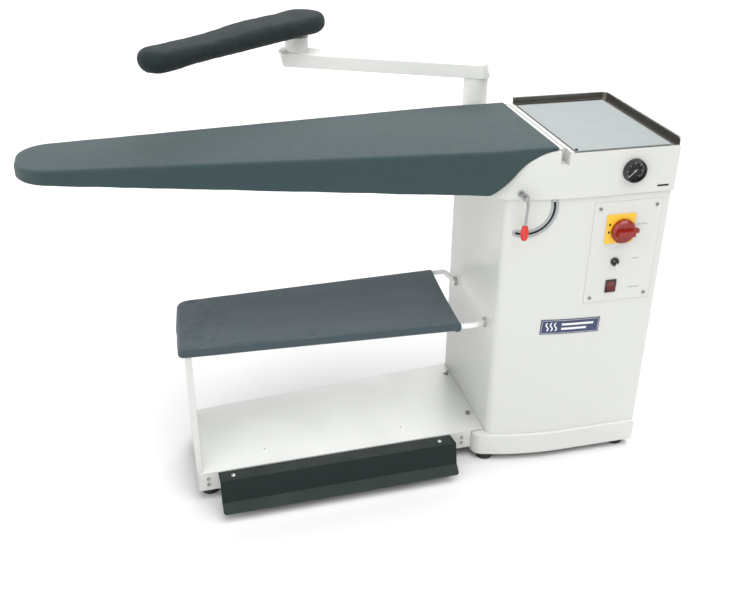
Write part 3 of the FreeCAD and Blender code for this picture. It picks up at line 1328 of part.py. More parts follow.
def electrics():
    contactor = box("contactor_base", "cab_wide - 96", "-cab_deep/2 + 24", 560, 46, 60, 76)
    ledge = box("contactor_ledge", "cab_wide - 90", "-cab_deep/2 + 84", 572, 34, 14, 52)
    rail = box("contactor_rail", "cab_wide - 50", "-cab_deep/2 + 34", 590, "47.4", 36, 8)
    node("contactor", joined("contactor_pieces", contactor, ledge, rail))
    gland_x, gland_z = 330, "cab_low + 90"
    body = rod("gland_body", gland_x, "cab_deep/2 - 10", gland_z, 12, 30, "y")
    nut = rod("gland_nut", gland_x, "cab_deep/2 + 1.6", gland_z, 17, 8, "y")
    inner_nut = rod("gland_lock", gland_x, "cab_deep/2 - 8.1", gland_z, 17, 5, "y")
    way = rod("gland_way", gland_x, "cab_deep/2 - 20", gland_z, 7, 60, "y")
    node("cable_gland", cut("gland", joined("gland_pieces", body, nut, inner_nut), way))


def check_and_write():
    doc.recompute()
    for thing in doc.Objects:
        if any(flag in ("Invalid", "Error") for flag in thing.State):
            raise RuntimeError(f"{thing.Label} could not be built: {thing.State}")
    low, high = Vector(1e9, 1e9, 1e9), Vector(-1e9, -1e9, -1e9)
    for thing in nodes:
        shape = thing.Shape
        if shape.isNull() or not shape.isValid() or not shape.Solids:
            raise RuntimeError(f"{thing.Label} is not a valid solid")
        bounds = shape.optimalBoundingBox()
        low = Vector(min(low.x, bounds.XMin), min(low.y, bounds.YMin), min(low.z, bounds.ZMin))
        high = Vector(max(high.x, bounds.XMax), max(high.y, bounds.YMax), max(high.z, bounds.ZMax))
    print("nodes", len(nodes), "low", low, "high", high)
    off_centre = max(abs(low.x + high.x), abs(low.y + high.y)) / 2
    if off_centre > 0.1 or abs(low.z) > 0.1:
        raise RuntimeError(f"the box is off the row frame's origin: {low} {high}")
    os.makedirs("parts", exist_ok=True)
    for thing in nodes:
        thing.Shape.exportStep(f"parts/{thing.Label}.step")


cabinet()
feet()
head()
tray()
gauge()
controls()
selector()
board()
garment_shelf()
lower_shelf()
pedal()
swing_arm()
sleeve_buck()
boiler()
fan()
electrics()
check_and_write()
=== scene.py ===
"""Looks for the vacuum ironing table: cloth, padding, fittings, materials, camera and light.

Sizes are in millimetres in the drawing frame of the CAD part (x from the cabinet's left face, y from
its middle, z from the floor); at() turns a point into metres in the row frame.
"""

import json
import math

import bmesh
import bpy
from mathutils import Matrix, Vector, noise


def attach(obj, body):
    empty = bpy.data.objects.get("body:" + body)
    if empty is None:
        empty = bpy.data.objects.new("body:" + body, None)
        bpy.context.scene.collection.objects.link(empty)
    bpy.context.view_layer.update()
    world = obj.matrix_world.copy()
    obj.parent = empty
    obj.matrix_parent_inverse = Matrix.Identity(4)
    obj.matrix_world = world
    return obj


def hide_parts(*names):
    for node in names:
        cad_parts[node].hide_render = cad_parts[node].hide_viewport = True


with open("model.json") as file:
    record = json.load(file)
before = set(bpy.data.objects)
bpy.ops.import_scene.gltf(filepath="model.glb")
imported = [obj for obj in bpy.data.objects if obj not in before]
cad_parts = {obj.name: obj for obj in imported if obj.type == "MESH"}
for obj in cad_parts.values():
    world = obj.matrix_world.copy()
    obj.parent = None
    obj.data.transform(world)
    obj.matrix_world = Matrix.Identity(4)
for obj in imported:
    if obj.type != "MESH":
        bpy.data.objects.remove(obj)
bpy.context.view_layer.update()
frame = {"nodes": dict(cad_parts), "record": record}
nodes = frame["nodes"]

FRAME_X = 326.0
FRAME_Y = -128.1627
MM = 0.001


def at(x, y, z):
    """A point of the drawing frame, in metres in the row frame."""
    return Vector(((x + FRAME_X) * MM, (y + FRAME_Y) * MM, z * MM))


# ---------------------------------------------------------------- materials


class Material:
    """A node material with a few helpers for wiring procedural detail."""

    def __init__(self, name, colour, roughness, metallic=0.0):
        self.data = bpy.data.materials.new(name)
        self.data.use_nodes = True
        self.tree = self.data.node_tree
        self.shader = self.tree.nodes["Principled BSDF"]
        self.colour = (*colour, 1.0)
        self.roughness = roughness
        self.shader.inputs["Base Color"].default_value = self.colour
        self.shader.inputs["Roughness"].default_value = roughness
        self.shader.inputs["Metallic"].default_value = metallic
        self.normal = None

    def add(self, kind, **settings):
        made = self.tree.nodes.new(kind)
        for key, value in settings.items():
            setattr(made, key, value)
        return made

    def link(self, out, into):
        self.tree.links.new(out, into)
        return out

    def place(self, scale, source="Object"):
        """Coordinates for a texture, stretched by scale."""
        coords = self.add("ShaderNodeTexCoord")
        mapping = self.add("ShaderNodeMapping")
        mapping.inputs["Scale"].default_value = scale
        self.link(coords.outputs[source], mapping.inputs["Vector"])
        return mapping.outputs["Vector"]

    def cloud(self, scale, detail=3.0, stretch=(1, 1, 1), source="Object"):
        """Noise of so many lumps per metre."""
        made = self.add("ShaderNodeTexNoise")
        made.inputs["Scale"].default_value = scale
        made.inputs["Detail"].default_value = detail
        self.link(self.place(stretch, source), made.inputs["Vector"])
        return made.outputs["Fac"]

    def ramp(self, value, low, high, first, last):
        made = self.add("ShaderNodeMapRange")
        made.inputs["From Min"].default_value = low
        made.inputs["From Max"].default_value = high
        made.inputs["To Min"].default_value = first
        made.inputs["To Max"].default_value = last
        self.link(value, made.inputs["Value"])
        return made.outputs["Result"]

    def math(self, kind, a, b):
        made = self.add("ShaderNodeMath", operation=kind)
        for socket, value in zip(made.inputs, (a, b)):
            if isinstance(value, (int, float)):
                socket.default_value = value
            else:
                self.link(value, socket)
        return made.outputs["Value"]

    def tint(self, factor, colour):
        """Blend what the base colour is now towards another colour."""
        base = self.shader.inputs["Base Color"]
        made = self.add("ShaderNodeMix", data_type="RGBA")
        if base.is_linked:
            self.link(base.links[0].from_socket, made.inputs["A"])
        else:
            made.inputs["A"].default_value = self.colour
        made.inputs["B"].default_value = (*colour, 1.0)
        if isinstance(factor, float):
            made.inputs["Factor"].default_value = factor
        else:
            self.link(factor, made.inputs["Factor"])
        self.link(made.outputs["Result"], base)
        return self

    def bump(self, height, strength, distance):
        made = self.add("ShaderNodeBump")
        made.inputs["Strength"].default_value = strength
        made.inputs["Distance"].default_value = distance
        self.link(height, made.inputs["Height"])
        if self.normal is not None:
            self.link(self.normal, made.inputs["Normal"])
        self.normal = made.outputs["Normal"]
        self.link(self.normal, self.shader.inputs["Normal"])
        return self

    def soft_edges(self, radius):
        """Round the look of sharp edges, as folded and painted sheet has."""
        made = self.add("ShaderNodeBevel", samples=6)
        made.inputs["Radius"].default_value = radius
        self.normal = made.outputs["Normal"]
        self.link(self.normal, self.shader.inputs["Normal"])
        return self

    def rough(self, value):
        self.link(value, self.shader.inputs["Roughness"])
        return self

    def set(self, **sockets):
        for name, value in sockets.items():
            self.shader.inputs[name.replace("_", " ")].default_value = value
        return self


def enamel(name, colour, roughness=0.34, edge=0.0016, dirt=(0.56, 0.56, 0.52), shine=0.5):
    """Powder coat: faint orange peel, slow colour drift, a little grime in broad patches."""
    made = Material(name, colour, roughness)
    made.soft_edges(edge)
    made.tint(made.ramp(made.cloud(2.2, 4), 0.42, 0.8, 0.0, 0.16), dirt)
    made.tint(made.ramp(made.cloud(30, 5), 0.55, 0.8, 0.0, 0.08), tuple(c * 0.86 for c in colour))
    made.rough(made.ramp(made.cloud(12, 4), 0.3, 0.7, roughness - 0.05, roughness + 0.09))
    made.bump(made.cloud(420, 2), 0.10, 0.0004)
    made.set(Coat_Weight=0.36 * (shine - 0.1), Coat_Roughness=0.22, Specular_IOR_Level=shine)
    return made.data


def cloth(name, colour, light, pitch=900.0, strength=0.35, sheen=0.25):
    """Plain weave laid along the piece's own UV lengths, with slubs and a soft sheen."""
    made = Material(name, colour, 0.86)
    warp = made.add("ShaderNodeTexWave", wave_type="BANDS", bands_direction="X")
    weft = made.add("ShaderNodeTexWave", wave_type="BANDS", bands_direction="Y")
    for wave in (warp, weft):
        wave.inputs["Scale"].default_value = pitch / 2
        wave.inputs["Distortion"].default_value = 0.6
        wave.inputs["Detail"].default_value = 1.0
        made.link(made.place((1, 1, 1), "UV"), wave.inputs["Vector"])
    weave = made.math("MULTIPLY", warp.outputs["Fac"], weft.outputs["Fac"])
    made.tint(made.ramp(weave, 0.0, 1.0, 0.0, 0.34), light)
    slubs = made.cloud(260, 3, (1, 0.12, 1), "UV")
    made.tint(made.ramp(slubs, 0.5, 0.75, 0.0, 0.22), tuple(c * 0.72 for c in colour))
    made.tint(made.ramp(made.cloud(5, 4), 0.35, 0.7, 0.0, 0.22), tuple(c * 1.35 for c in colour))
    made.bump(made.cloud(26, 4), 0.10, 0.004)
    made.bump(weave, strength, 0.0004)
    made.rough(made.ramp(made.cloud(40, 3), 0.3, 0.7, 0.78, 0.92))
    made.set(Sheen_Weight=sheen, Sheen_Roughness=0.5, Specular_IOR_Level=0.3)
    return made.data


def metal(name, colour, roughness, grain=(1, 60, 1), strength=0.12):
    """Brushed or plated metal with a directional grain."""
    made = Material(name, colour, roughness, 1.0)
    made.soft_edges(0.0006)
    lines = made.cloud(22, 6, grain)
    made.rough(made.ramp(lines, 0.25, 0.75, roughness - 0.07, roughness + 0.12))
    made.tint(made.ramp(lines, 0.4, 0.7, 0.0, 0.3), tuple(c * 0.8 for c in colour))
    made.tint(made.ramp(made.cloud(7, 4), 0.45, 0.75, 0.0, 0.2), tuple(c * 0.7 for c in colour))
    made.bump(lines, strength, 0.0003)
    return made.data


def moulded(name, colour, roughness, grain=900, strength=0.12, coat=0.0):
    """Moulded plastic or rubber with a fine tooled grain and slight wear."""
    made = Material(name, colour, roughness)
    made.soft_edges(0.0007)
    worn = tuple(min(1, c * 1.25 + 0.01) for c in colour)
    made.tint(made.ramp(made.cloud(45, 4), 0.45, 0.8, 0.0, 0.25), worn)
    made.tint(made.ramp(made.cloud(160, 3), 0.55, 0.8, 0.0, 0.2), tuple(c * 0.7 for c in colour))
    made.rough(made.ramp(made.cloud(60, 3), 0.3, 0.7, roughness - 0.04, roughness + 0.08))
    made.bump(made.cloud(grain, 2), strength, 0.0003)
    made.set(Coat_Weight=coat, Coat_Roughness=0.1)
    return made.data


def glass(name):
    made = Material(name, (0.97, 0.98, 0.98), 0.04)
    made.rough(made.ramp(made.cloud(50, 3), 0.4, 0.8, 0.02, 0.08))
    made.set(Transmission_Weight=1.0, IOR=1.12)
    return made.data


def mat_silicone(name, colour):
    """A smooth silicone sheet: faint pebble, slightly uneven shine."""
    made = Material(name, colour, 0.32)
    made.tint(made.ramp(made.cloud(6, 4), 0.4, 0.7, 0.0, 0.22), tuple(min(1, c * 1.16) for c in colour))
    made.rough(made.ramp(made.cloud(14, 2), 0.3, 0.7, 0.34, 0.46))
    made.bump(made.cloud(700, 2), 0.05, 0.0002)
    made.set(Coat_Weight=0.1, Coat_Roughness=0.3)
    return made.data


LOOKS = {
    "white_enamel": enamel("white_enamel", (0.61, 0.62, 0.59)),
    "tube_white": enamel("tube_white", (0.80, 0.805, 0.78), 0.3, 0.0008),
    "pedal_paint": enamel(
        "pedal_paint", (0.008, 0.017, 0.015), 0.5, 0.0014, (0.014, 0.024, 0.021), shine=0.2
    ),
    "stainless": metal("stainless", (0.27, 0.255, 0.235), 0.27),
    "plated_steel": metal("plated_steel", (0.62, 0.62, 0.60), 0.3, (1, 1, 30)),
    "dark_chrome": metal("dark_chrome", (0.36, 0.36, 0.37), 0.16, (1, 1, 12), 0.04),
    "trim_grey": moulded("trim_grey", (0.34, 0.36, 0.37), 0.3, coat=0.3),
    "black_plastic": moulded("black_plastic", (0.012, 0.012, 0.014), 0.38),
    "lever_red": moulded("lever_red", (0.60, 0.022, 0.012), 0.34, 700, 0.06, 0.1),
    "switch_yellow": moulded("switch_yellow", (0.86, 0.50, 0.02), 0.36, 800, 0.08, 0.2),
    "switch_red": moulded("switch_red", (0.25, 0.009, 0.003), 0.24, 700, 0.06, 0.1),
    "rocker_red": moulded("rocker_red", (0.11, 0.005, 0.004), 0.2, 500, 0.04, 0.3),
    "toggle_metal": metal("toggle_metal", (0.7, 0.7, 0.67), 0.16),
    "dial_face": moulded("dial_face", (0.005, 0.005, 0.006), 0.6),
    "clear_lens": glass("clear_lens"),
    "plate_blue": moulded("plate_blue", (0.017, 0.032, 0.105), 0.34, 600, 0.05, 0.3),
    "board_cloth": cloth("board_cloth", (0.029, 0.053, 0.056), (0.047, 0.077, 0.080), sheen=0.2),
    "foam": moulded("foam", (0.5, 0.46, 0.34), 0.9, 300, 0.5),
    "sling_cloth": cloth("sling_cloth", (0.044, 0.066, 0.077), (0.068, 0.094, 0.108)),
    "buck_cloth": cloth("buck_cloth", (0.011, 0.020, 0.021), (0.018, 0.030, 0.031), sheen=0.06),
    "silicone": mat_silicone("silicone", (0.235, 0.268, 0.268)),
    "foot_rubber": moulded("foot_rubber", (0.016, 0.016, 0.017), 0.62, 400, 0.25),
    "galvanised": metal("galvanised", (0.6, 0.61, 0.62), 0.4, (1, 1, 1)),
    "boiler_steel": metal("boiler_steel", (0.45, 0.45, 0.46), 0.38),
    "element_steel": metal("element_steel", (0.3, 0.28, 0.26), 0.45),
    "insulation": moulded("insulation", (0.6, 0.57, 0.46), 0.95, 200, 0.6),
    "valve_brass": metal("valve_brass", (0.7, 0.5, 0.2), 0.28),
    "motor_paint": moulded("motor_paint", (0.06, 0.08, 0.1), 0.4),
    "relay_plastic": moulded("relay_plastic", (0.12, 0.12, 0.125), 0.45),
}
# Near-black used as painted shade inside recesses, holes and slots, and also as the colour of the tray's
# black corner screw.
PAINTED_SHADE_BLACK = moulded("painted_shade_black", (0.006, 0.006, 0.007), 0.7)
PALE_PRINT = moulded("pale_print", (0.78, 0.78, 0.76), 0.5)
# Painted light: a lighter copy of the cabinet's white enamel for the arm and its post, for the extra light
# they catch.
ARM_LIT_WHITE = enamel("arm_lit_white", (0.82, 0.825, 0.79))
OWN_LOOKS = {"arm_beam": ARM_LIT_WHITE, "arm_post": ARM_LIT_WHITE, "shelf_bolts": LOOKS["dark_chrome"]}
GREY_PRINT = moulded("grey_print", (0.44, 0.45, 0.44), 0.6)

for part in frame["record"]["subparts"]:
    for place in nodes[part["node"]].material_slots:
        place.link = "OBJECT"
        place.material = OWN_LOOKS.get(part["node"], LOOKS[part["material_slot"]])


# ---------------------------------------------------------------- mesh helpers


def piece(name, mesh, body, slot=None, look=None, smooth=True):
    """A finished mesh becomes a piece that rides on a body."""
    thing = bpy.data.objects.new(name, mesh)
    bpy.context.collection.objects.link(thing)
    mesh.materials.append(look or LOOKS[slot])
    if smooth:
        mesh.polygons.foreach_set("use_smooth", [True] * len(mesh.polygons))
    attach(thing, body)
    return thing


def from_bmesh(name, made):
    mesh = bpy.data.meshes.new(name)
    bmesh.ops.recalc_face_normals(made, faces=made.faces)
    made.to_mesh(mesh)
    made.free()
    return mesh


def woven_rows(name, rows, closed):
    """A skin through rows of points (metres), with UVs measured along it in metres."""
    made = bmesh.new()
    grid = [[made.verts.new(point) for point in row] for row in rows]
    lengths = made.loops.layers.uv.new("lengths")
    count = len(rows[0])
    along = [0.0]
    middle = rows[len(rows) // 2]
    for k in range(count):
        along.append(along[-1] + (middle[(k + 1) % count] - middle[k]).length)
    across = [[0.0] * count]
    for before, row in zip(rows, rows[1:]):
        across.append([across[-1][k] + (row[k] - before[k]).length for k in range(count)])
    for j in range(len(rows) - 1):
        for k in range(count if closed else count - 1):
            after = (k + 1) % count
            corners = [(j, k, k), (j, after, k + 1), (j + 1, after, k + 1), (j + 1, k, k)]
            face = made.faces.new([grid[a][b] for a, b, _ in corners])
            for loop, (a, b, c) in zip(face.loops, corners):
                loop[lengths].uv = (along[c], across[a][b])
    bmesh.ops.remove_doubles(made, verts=made.verts, dist=0.00002)
    return from_bmesh(name, made)


def smooth_step(value, low, high):
    share = min(max((value - low) / (high - low), 0.0), 1.0)
    return share * share * (3 - 2 * share)


def lumps(point, size, seed=0.0):
    """Smooth noise from -1 to 1; size is the lumps' size in millimetres."""
    return noise.noise(Vector(point) / size + Vector((seed, seed * 1.7, -seed)))


# ---------------------------------------------------------------- the board's cover

BOARD_TOP = 875.0
BOARD_RIGHT = 116.5
BOARD_NOSE = -1072.0
BOARD_HALF = 181.0
BOARD_TAPER = 0.0925
TAPER_FROM = -50.0
NOSE_RADIUS = 74.0
SLIM_HALF = BOARD_HALF - BOARD_TAPER * (TAPER_FROM - BOARD_NOSE)
COVER_DEEPEST = 0.5  # the cover dips no further in than this, or the padding would show through
UNDER_CALM = 0.35  # the turned-under edge waves less than the side


def arc_height(x, first, middle, last):
    """Height at x on the circle through three (x, z) points."""
    (ax, az), (bx, bz), (cx, cz) = first, middle, last
    turn = 2 * (ax * (bz - cz) + bx * (cz - az) + cx * (az - bz))
    a2, b2, c2 = ax * ax + az * az, bx * bx + bz * bz, cx * cx + cz * cz
    mid_x = (a2 * (bz - cz) + b2 * (cz - az) + c2 * (az - bz)) / turn
    mid_z = (a2 * (cx - bx) + b2 * (ax - cx) + c2 * (bx - ax)) / turn
    radius = math.hypot(ax - mid_x, az - mid_z)
    side = 1 if bz > mid_z else -1
    return mid_z + side * math.sqrt(max(radius**2 - (x - mid_x) ** 2, 0.0))


def hem_height(x):
    """The cover's lower edge: straight under the board, then an S over the head."""
    nose, first, heel, bend, top = (-1092, 849.5), (-950, 837.5), (-45, 769.5), (18, 819), (122.5, 867.8)
    if x < first[0]:
        return nose[1] + (first[1] - nose[1]) * (x - nose[0]) / (first[0] - nose[0])
    if x < heel[0]:
        return first[1] + (heel[1] - first[1]) * (x - first[0]) / (heel[0] - first[0])
    if x < bend[0]:
        return arc_height(x, heel, (-9, 791.5), bend)
    return arc_height(x, bend, (59, 852), top)


def spaced(first, last, step):
    """Points from first to last, last left out, about step apart."""
    count = max(1, round((last - first).length / step))
    return [first.lerp(last, k / count) for k in range(count)]


def arc_points(centre, radius, start, end, step):
    """Points on an arc, the last left out; angles in degrees."""
    count = max(3, round(abs(math.radians(end - start)) * radius / step))
    turns = [math.radians(start + (end - start) * k / count) for k in range(count)]
    return [centre + Vector((math.cos(a), math.sin(a))) * radius for a in turns]


def board_plan():
    """The board seen from above, as a closed loop of (x, y) points from its back right corner."""
    corner = 2.0
    lean = math.degrees(math.atan(BOARD_TAPER))
    nose_y = SLIM_HALF + BOARD_TAPER * NOSE_RADIUS - NOSE_RADIUS * math.hypot(1, BOARD_TAPER)
    centre_x = BOARD_NOSE + NOSE_RADIUS
    points = arc_points(Vector((BOARD_RIGHT - corner, BOARD_HALF - corner)), corner, 0, 90, 2)
    touch = Vector((centre_x, nose_y)) + Vector(
        (-math.sin(math.radians(lean)), math.cos(math.radians(lean)))
    ) * NOSE_RADIUS
    points += spaced(Vector((BOARD_RIGHT - corner, BOARD_HALF)), Vector((TAPER_FROM, BOARD_HALF)), 6)
    points += spaced(Vector((TAPER_FROM, BOARD_HALF)), touch, 9)
    points += arc_points(Vector((centre_x, nose_y)), NOSE_RADIUS, 90 + lean, 180, 5)
    points += spaced(Vector((BOARD_NOSE, nose_y)), Vector((BOARD_NOSE, -nose_y)), 5)
    points += arc_points(Vector((centre_x, -nose_y)), NOSE_RADIUS, 180, 270 - lean, 5)
    points += spaced(Vector((touch.x, -touch.y)), Vector((TAPER_FROM, -BOARD_HALF)), 9)
    points += spaced(Vector((TAPER_FROM, -BOARD_HALF)), Vector((BOARD_RIGHT - corner, -BOARD_HALF)), 6)
    points += arc_points(Vector((BOARD_RIGHT - corner, corner - BOARD_HALF)), corner, 270, 360, 2)
    reach = BOARD_HALF - corner
    points += spaced(Vector((BOARD_RIGHT, -reach)), Vector((BOARD_RIGHT, reach)), 6)
    return points


def board_cover():
    plan = board_plan()
    spine = [Vector((min(max(p.x, BOARD_NOSE + 84), BOARD_RIGHT - 96), 0.0)) for p in plan]
    inward = [(s - p).normalized() for s, p in zip(spine, plan)]
    shoulder = 7.0
    outset = 1.0
    rows = []

    def row(inset, height):
        """One row: inset (mm) and height for each outline point k."""
        points = []
        for k, p in enumerate(plan):
            q = p + inward[k] * inset(k)
            points.append(at(q.x, q.y, height(k)))
        rows.append(points)

    def side_wave(k, share):
        """Slack cloth on the side: long shallow waves, stronger towards the hem."""
        p = plan[k]
        calm = 1 - smooth_step(p.x, 60, 105)
        wave = lumps((p.x, p.y, share * 60), 85, 3) * 1.3 + lumps((p.x, p.y, share * 25), 30, 9) * 0.5
        return (wave - 0.5) * (1 - share * 0.6) * calm - outset * (0.3 + 0.7 * calm)

    def hem(k):
        p = plan[k]
        drop = lumps((p.x, p.y, 0), 70, 5) * 1.4 + lumps((p.x, p.y, 0), 22, 7) * 0.5
        return hem_height(p.x) + drop * (1 - smooth_step(p.x, -60, 40))

    for tuck, lift in ((15, 2.5), (10, 1.0), (5, 0.3), (1.5, 0.2)):
        row(lambda k: tuck + side_wave(k, 0) * UNDER_CALM, lambda k: hem(k) + lift)
    shares = [0.0, 0.03, 0.08, 0.16, 0.26, 0.38, 0.5, 0.62, 0.74, 0.85, 0.94, 1.0]
    for share in shares:
        def height(k):
            low = hem(k) + 1.0
            high = BOARD_TOP - min(shoulder, (BOARD_TOP - low) * 0.5)
            return low + (high - low) * share

        def inset(k):
            tall = smooth_step(BOARD_TOP - hem(k), 14, 60)
            waist = math.sin(math.pi * min(share * 1.15, 1.0)) * 1.3 * tall
            piping = -1.2 * math.exp(-((share * (BOARD_TOP - hem(k)) - 5) / 4.0) ** 2) * tall
            return min(waist + piping + side_wave(k, share), COVER_DEEPEST)
        row(inset, height)
    for turn in range(1, 7):
        angle = math.radians(15 * turn)

        def height(k):
            reach = min(shoulder, (BOARD_TOP - hem(k) - 1) * 0.5)
            return BOARD_TOP - reach * (1 - math.sin(angle)) + 0.4 * lumps((plan[k].x, plan[k].y, 0), 60, 2)

        def over(k):
            return shoulder * (1 - math.cos(angle)) + side_wave(k, 1.0) * math.cos(angle)
        row(over, height)
    ring = [p + i * shoulder for p, i in zip(plan, inward)]
    for step in range(1, 19):
        share = 1 - (1 - step / 18) ** 1.25
        points = []
        for k, p in enumerate(ring):
            q = p.lerp(spine[k], share)
            crown = 1.6 * math.sin(share * math.pi / 2) + 0.5 * lumps((q.x, q.y, 0), 120, 4)
            points.append(at(q.x, q.y, BOARD_TOP + crown * (1 - smooth_step(q.x, 40, 100))))
        rows.append(points)
    cover = piece("board_cover_cloth", woven_rows("board_cover_cloth", rows, True), "cabinet", "board_cloth")
    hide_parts("board_cover")


# ---------------------------------------------------------------- the garment sling

RAIL_HIGH = 408.0
RAIL_RADIUS = 7.0
SLING_BACK_LEFT = Vector((-754.0, 128.0))
SLING_FRONT_LEFT = Vector((-767.0, -116.0))
SLING_BACK_RIGHT = Vector((-70.0, 158.0))
SLING_FRONT_RIGHT = Vector((-86.0, -142.5))
SLING_WRAP = RAIL_RADIUS + 1.1
WRAP_LOWEST = -50
HEM_FOLD = [(0.0022, -0.0012), (0.0014, -0.0040), (-0.0120, -0.0044)]


def turned_corner(before, corner, after, radius, step):
    """Points on the arc that rounds a corner of an outline."""
    to_before = (before - corner).normalized()
    to_after = (after - corner).normalized()
    half_turn = to_before.angle(to_after) / 2
    trim = radius / math.tan(half_turn)
    centre = corner + (to_before + to_after).normalized() * (radius / math.sin(half_turn))
    start = corner + to_before * trim - centre
    end = corner + to_after * trim - centre
    count = max(3, round((end - start).length / step))
    return [centre + start.lerp(end, k / count).normalized() * radius for k in range(count + 1)]


def sling_outline():
    """The cloth's edge over the rails, from its back right corner round to its front right one."""
    back = turned_corner(SLING_BACK_RIGHT, SLING_BACK_LEFT, SLING_FRONT_LEFT, 24, 4)
    front = turned_corner(SLING_BACK_LEFT, SLING_FRONT_LEFT, SLING_FRONT_RIGHT, 9, 3)
    points = spaced(SLING_BACK_RIGHT, back[0], 6) + back
    points += spaced(back[-1], front[0], 5)[1:] + front
    points += spaced(front[-1], SLING_FRONT_RIGHT, 6)[1:]
    points.append(SLING_FRONT_RIGHT.copy())
    return points


def garment_sling():
    """One cloth over the frame: it wraps each rail, and its open end is turned under in a hem."""
    wrap = SLING_WRAP
    plan = sling_outline()
    left = SLING_BACK_LEFT.x
    hem_middle = (SLING_BACK_RIGHT.x + SLING_FRONT_RIGHT.x) / 2
    spine = []
    for p in plan:
        ends = (SLING_BACK_LEFT, SLING_BACK_RIGHT) if p.y > 0 else (SLING_FRONT_LEFT, SLING_FRONT_RIGHT)
        far_left, right = ends[0].x, ends[1].x
        share = (p.x - far_left) / (right - far_left)
        spine.append(Vector((max(left + share * (hem_middle - left), left + 118), 0.0)))
    spine = [a.lerp(b, 0.5) for a, b in zip(spine, reversed(spine))]
    inward = [(middle - p).normalized() for middle, p in zip(spine, plan)]
    rows = []

    def finish_row(points):
        """Turn the row's two ends down and back under the cloth."""
        first = [points[0] + Vector((x, 0, z)) for x, z in reversed(HEM_FOLD)]
        last = [points[-1] + Vector((x, 0, z)) for x, z in HEM_FOLD]
        rows.append(first + points + last)

    for turn in range(WRAP_LOWEST, 91, 14):
        angle = math.radians(turn)
        points = []
        for k, p in enumerate(plan):
            near_left = 1 - smooth_step(p.x, left, left + 170)
            pull = lumps((p.x, p.y, turn * 0.5), 30, 6) * (0.5 + 1.8 * near_left)
            slack = 1.2 * smooth_step(-turn, -40, 50) * (0.6 + near_left)
            q = p - inward[k] * (math.cos(angle) * (wrap + slack + pull * 0.5))
            points.append(at(q.x, q.y, RAIL_HIGH + math.sin(angle) * (wrap + slack) + pull * 0.2))
        finish_row(points)
    for step in range(1, 25):
        share = step / 24
        points = []
        for k, p in enumerate(plan):
            q = p.lerp(spine[k], share)
            sag = 5.0 * math.sin(share * math.pi / 2)
            near_left = 1 - smooth_step(q.x, left + 15, left + 190)
            creases = 5.0 * near_left * lumps((q.x, q.y * 0.20, 0), 24, 12)
            creases += 1.3 * near_left * lumps((q.x, q.y * 0.5, 0), 11, 17)
            tuck = 6.0 * math.exp(-(((q.x + 455) / 5) ** 2)) * smooth_step(-q.y, 80, 130)
            pucker = 1.4 * lumps((q.x * 1.0, 0, 0), 18, 44) * smooth_step(0.16 - share, 0.0, 0.16)
            dip = 1.8 * lumps((q.x * 0.5, q.y, 0), 90, 21)
            ease = smooth_step(share, 0, 0.08)
            points.append(at(q.x, q.y, RAIL_HIGH + wrap - sag - (tuck - dip + creases) * ease - pucker))
        finish_row(points)
    mesh = woven_rows("garment_sling_cloth", rows, False)
    sling = piece("garment_sling_cloth", mesh, "cabinet", "sling_cloth")
    solid = sling.modifiers.new("cloth_thickness", "SOLIDIFY")
    solid.thickness = 0.0014
    solid.offset = 1.0
    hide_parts("garment_sling")


# ---------------------------------------------------------------- the sleeve board's padded cover

BUCK_TURN = math.radians(219.2)
BUCK_MIDDLE = Vector((-378.5, 440.0))
BUCK_TIP = 525.0
BUCK_HEEL = 84.0
BUCK_WIDE = 65.0
BUCK_SLIM = 47.0
BUCK_LOW = 1016.5
BUCK_TOP = 1064.0


def buck_rise(x):
    """How the padding swells and dips along its length."""
    swell = 3.0 * math.exp(-(((x - 150) / 90) ** 2)) + 2.5 * smooth_step(-x, -70, 60)
    return swell - 3.0 * math.exp(-(((x - 330) / 80) ** 2))


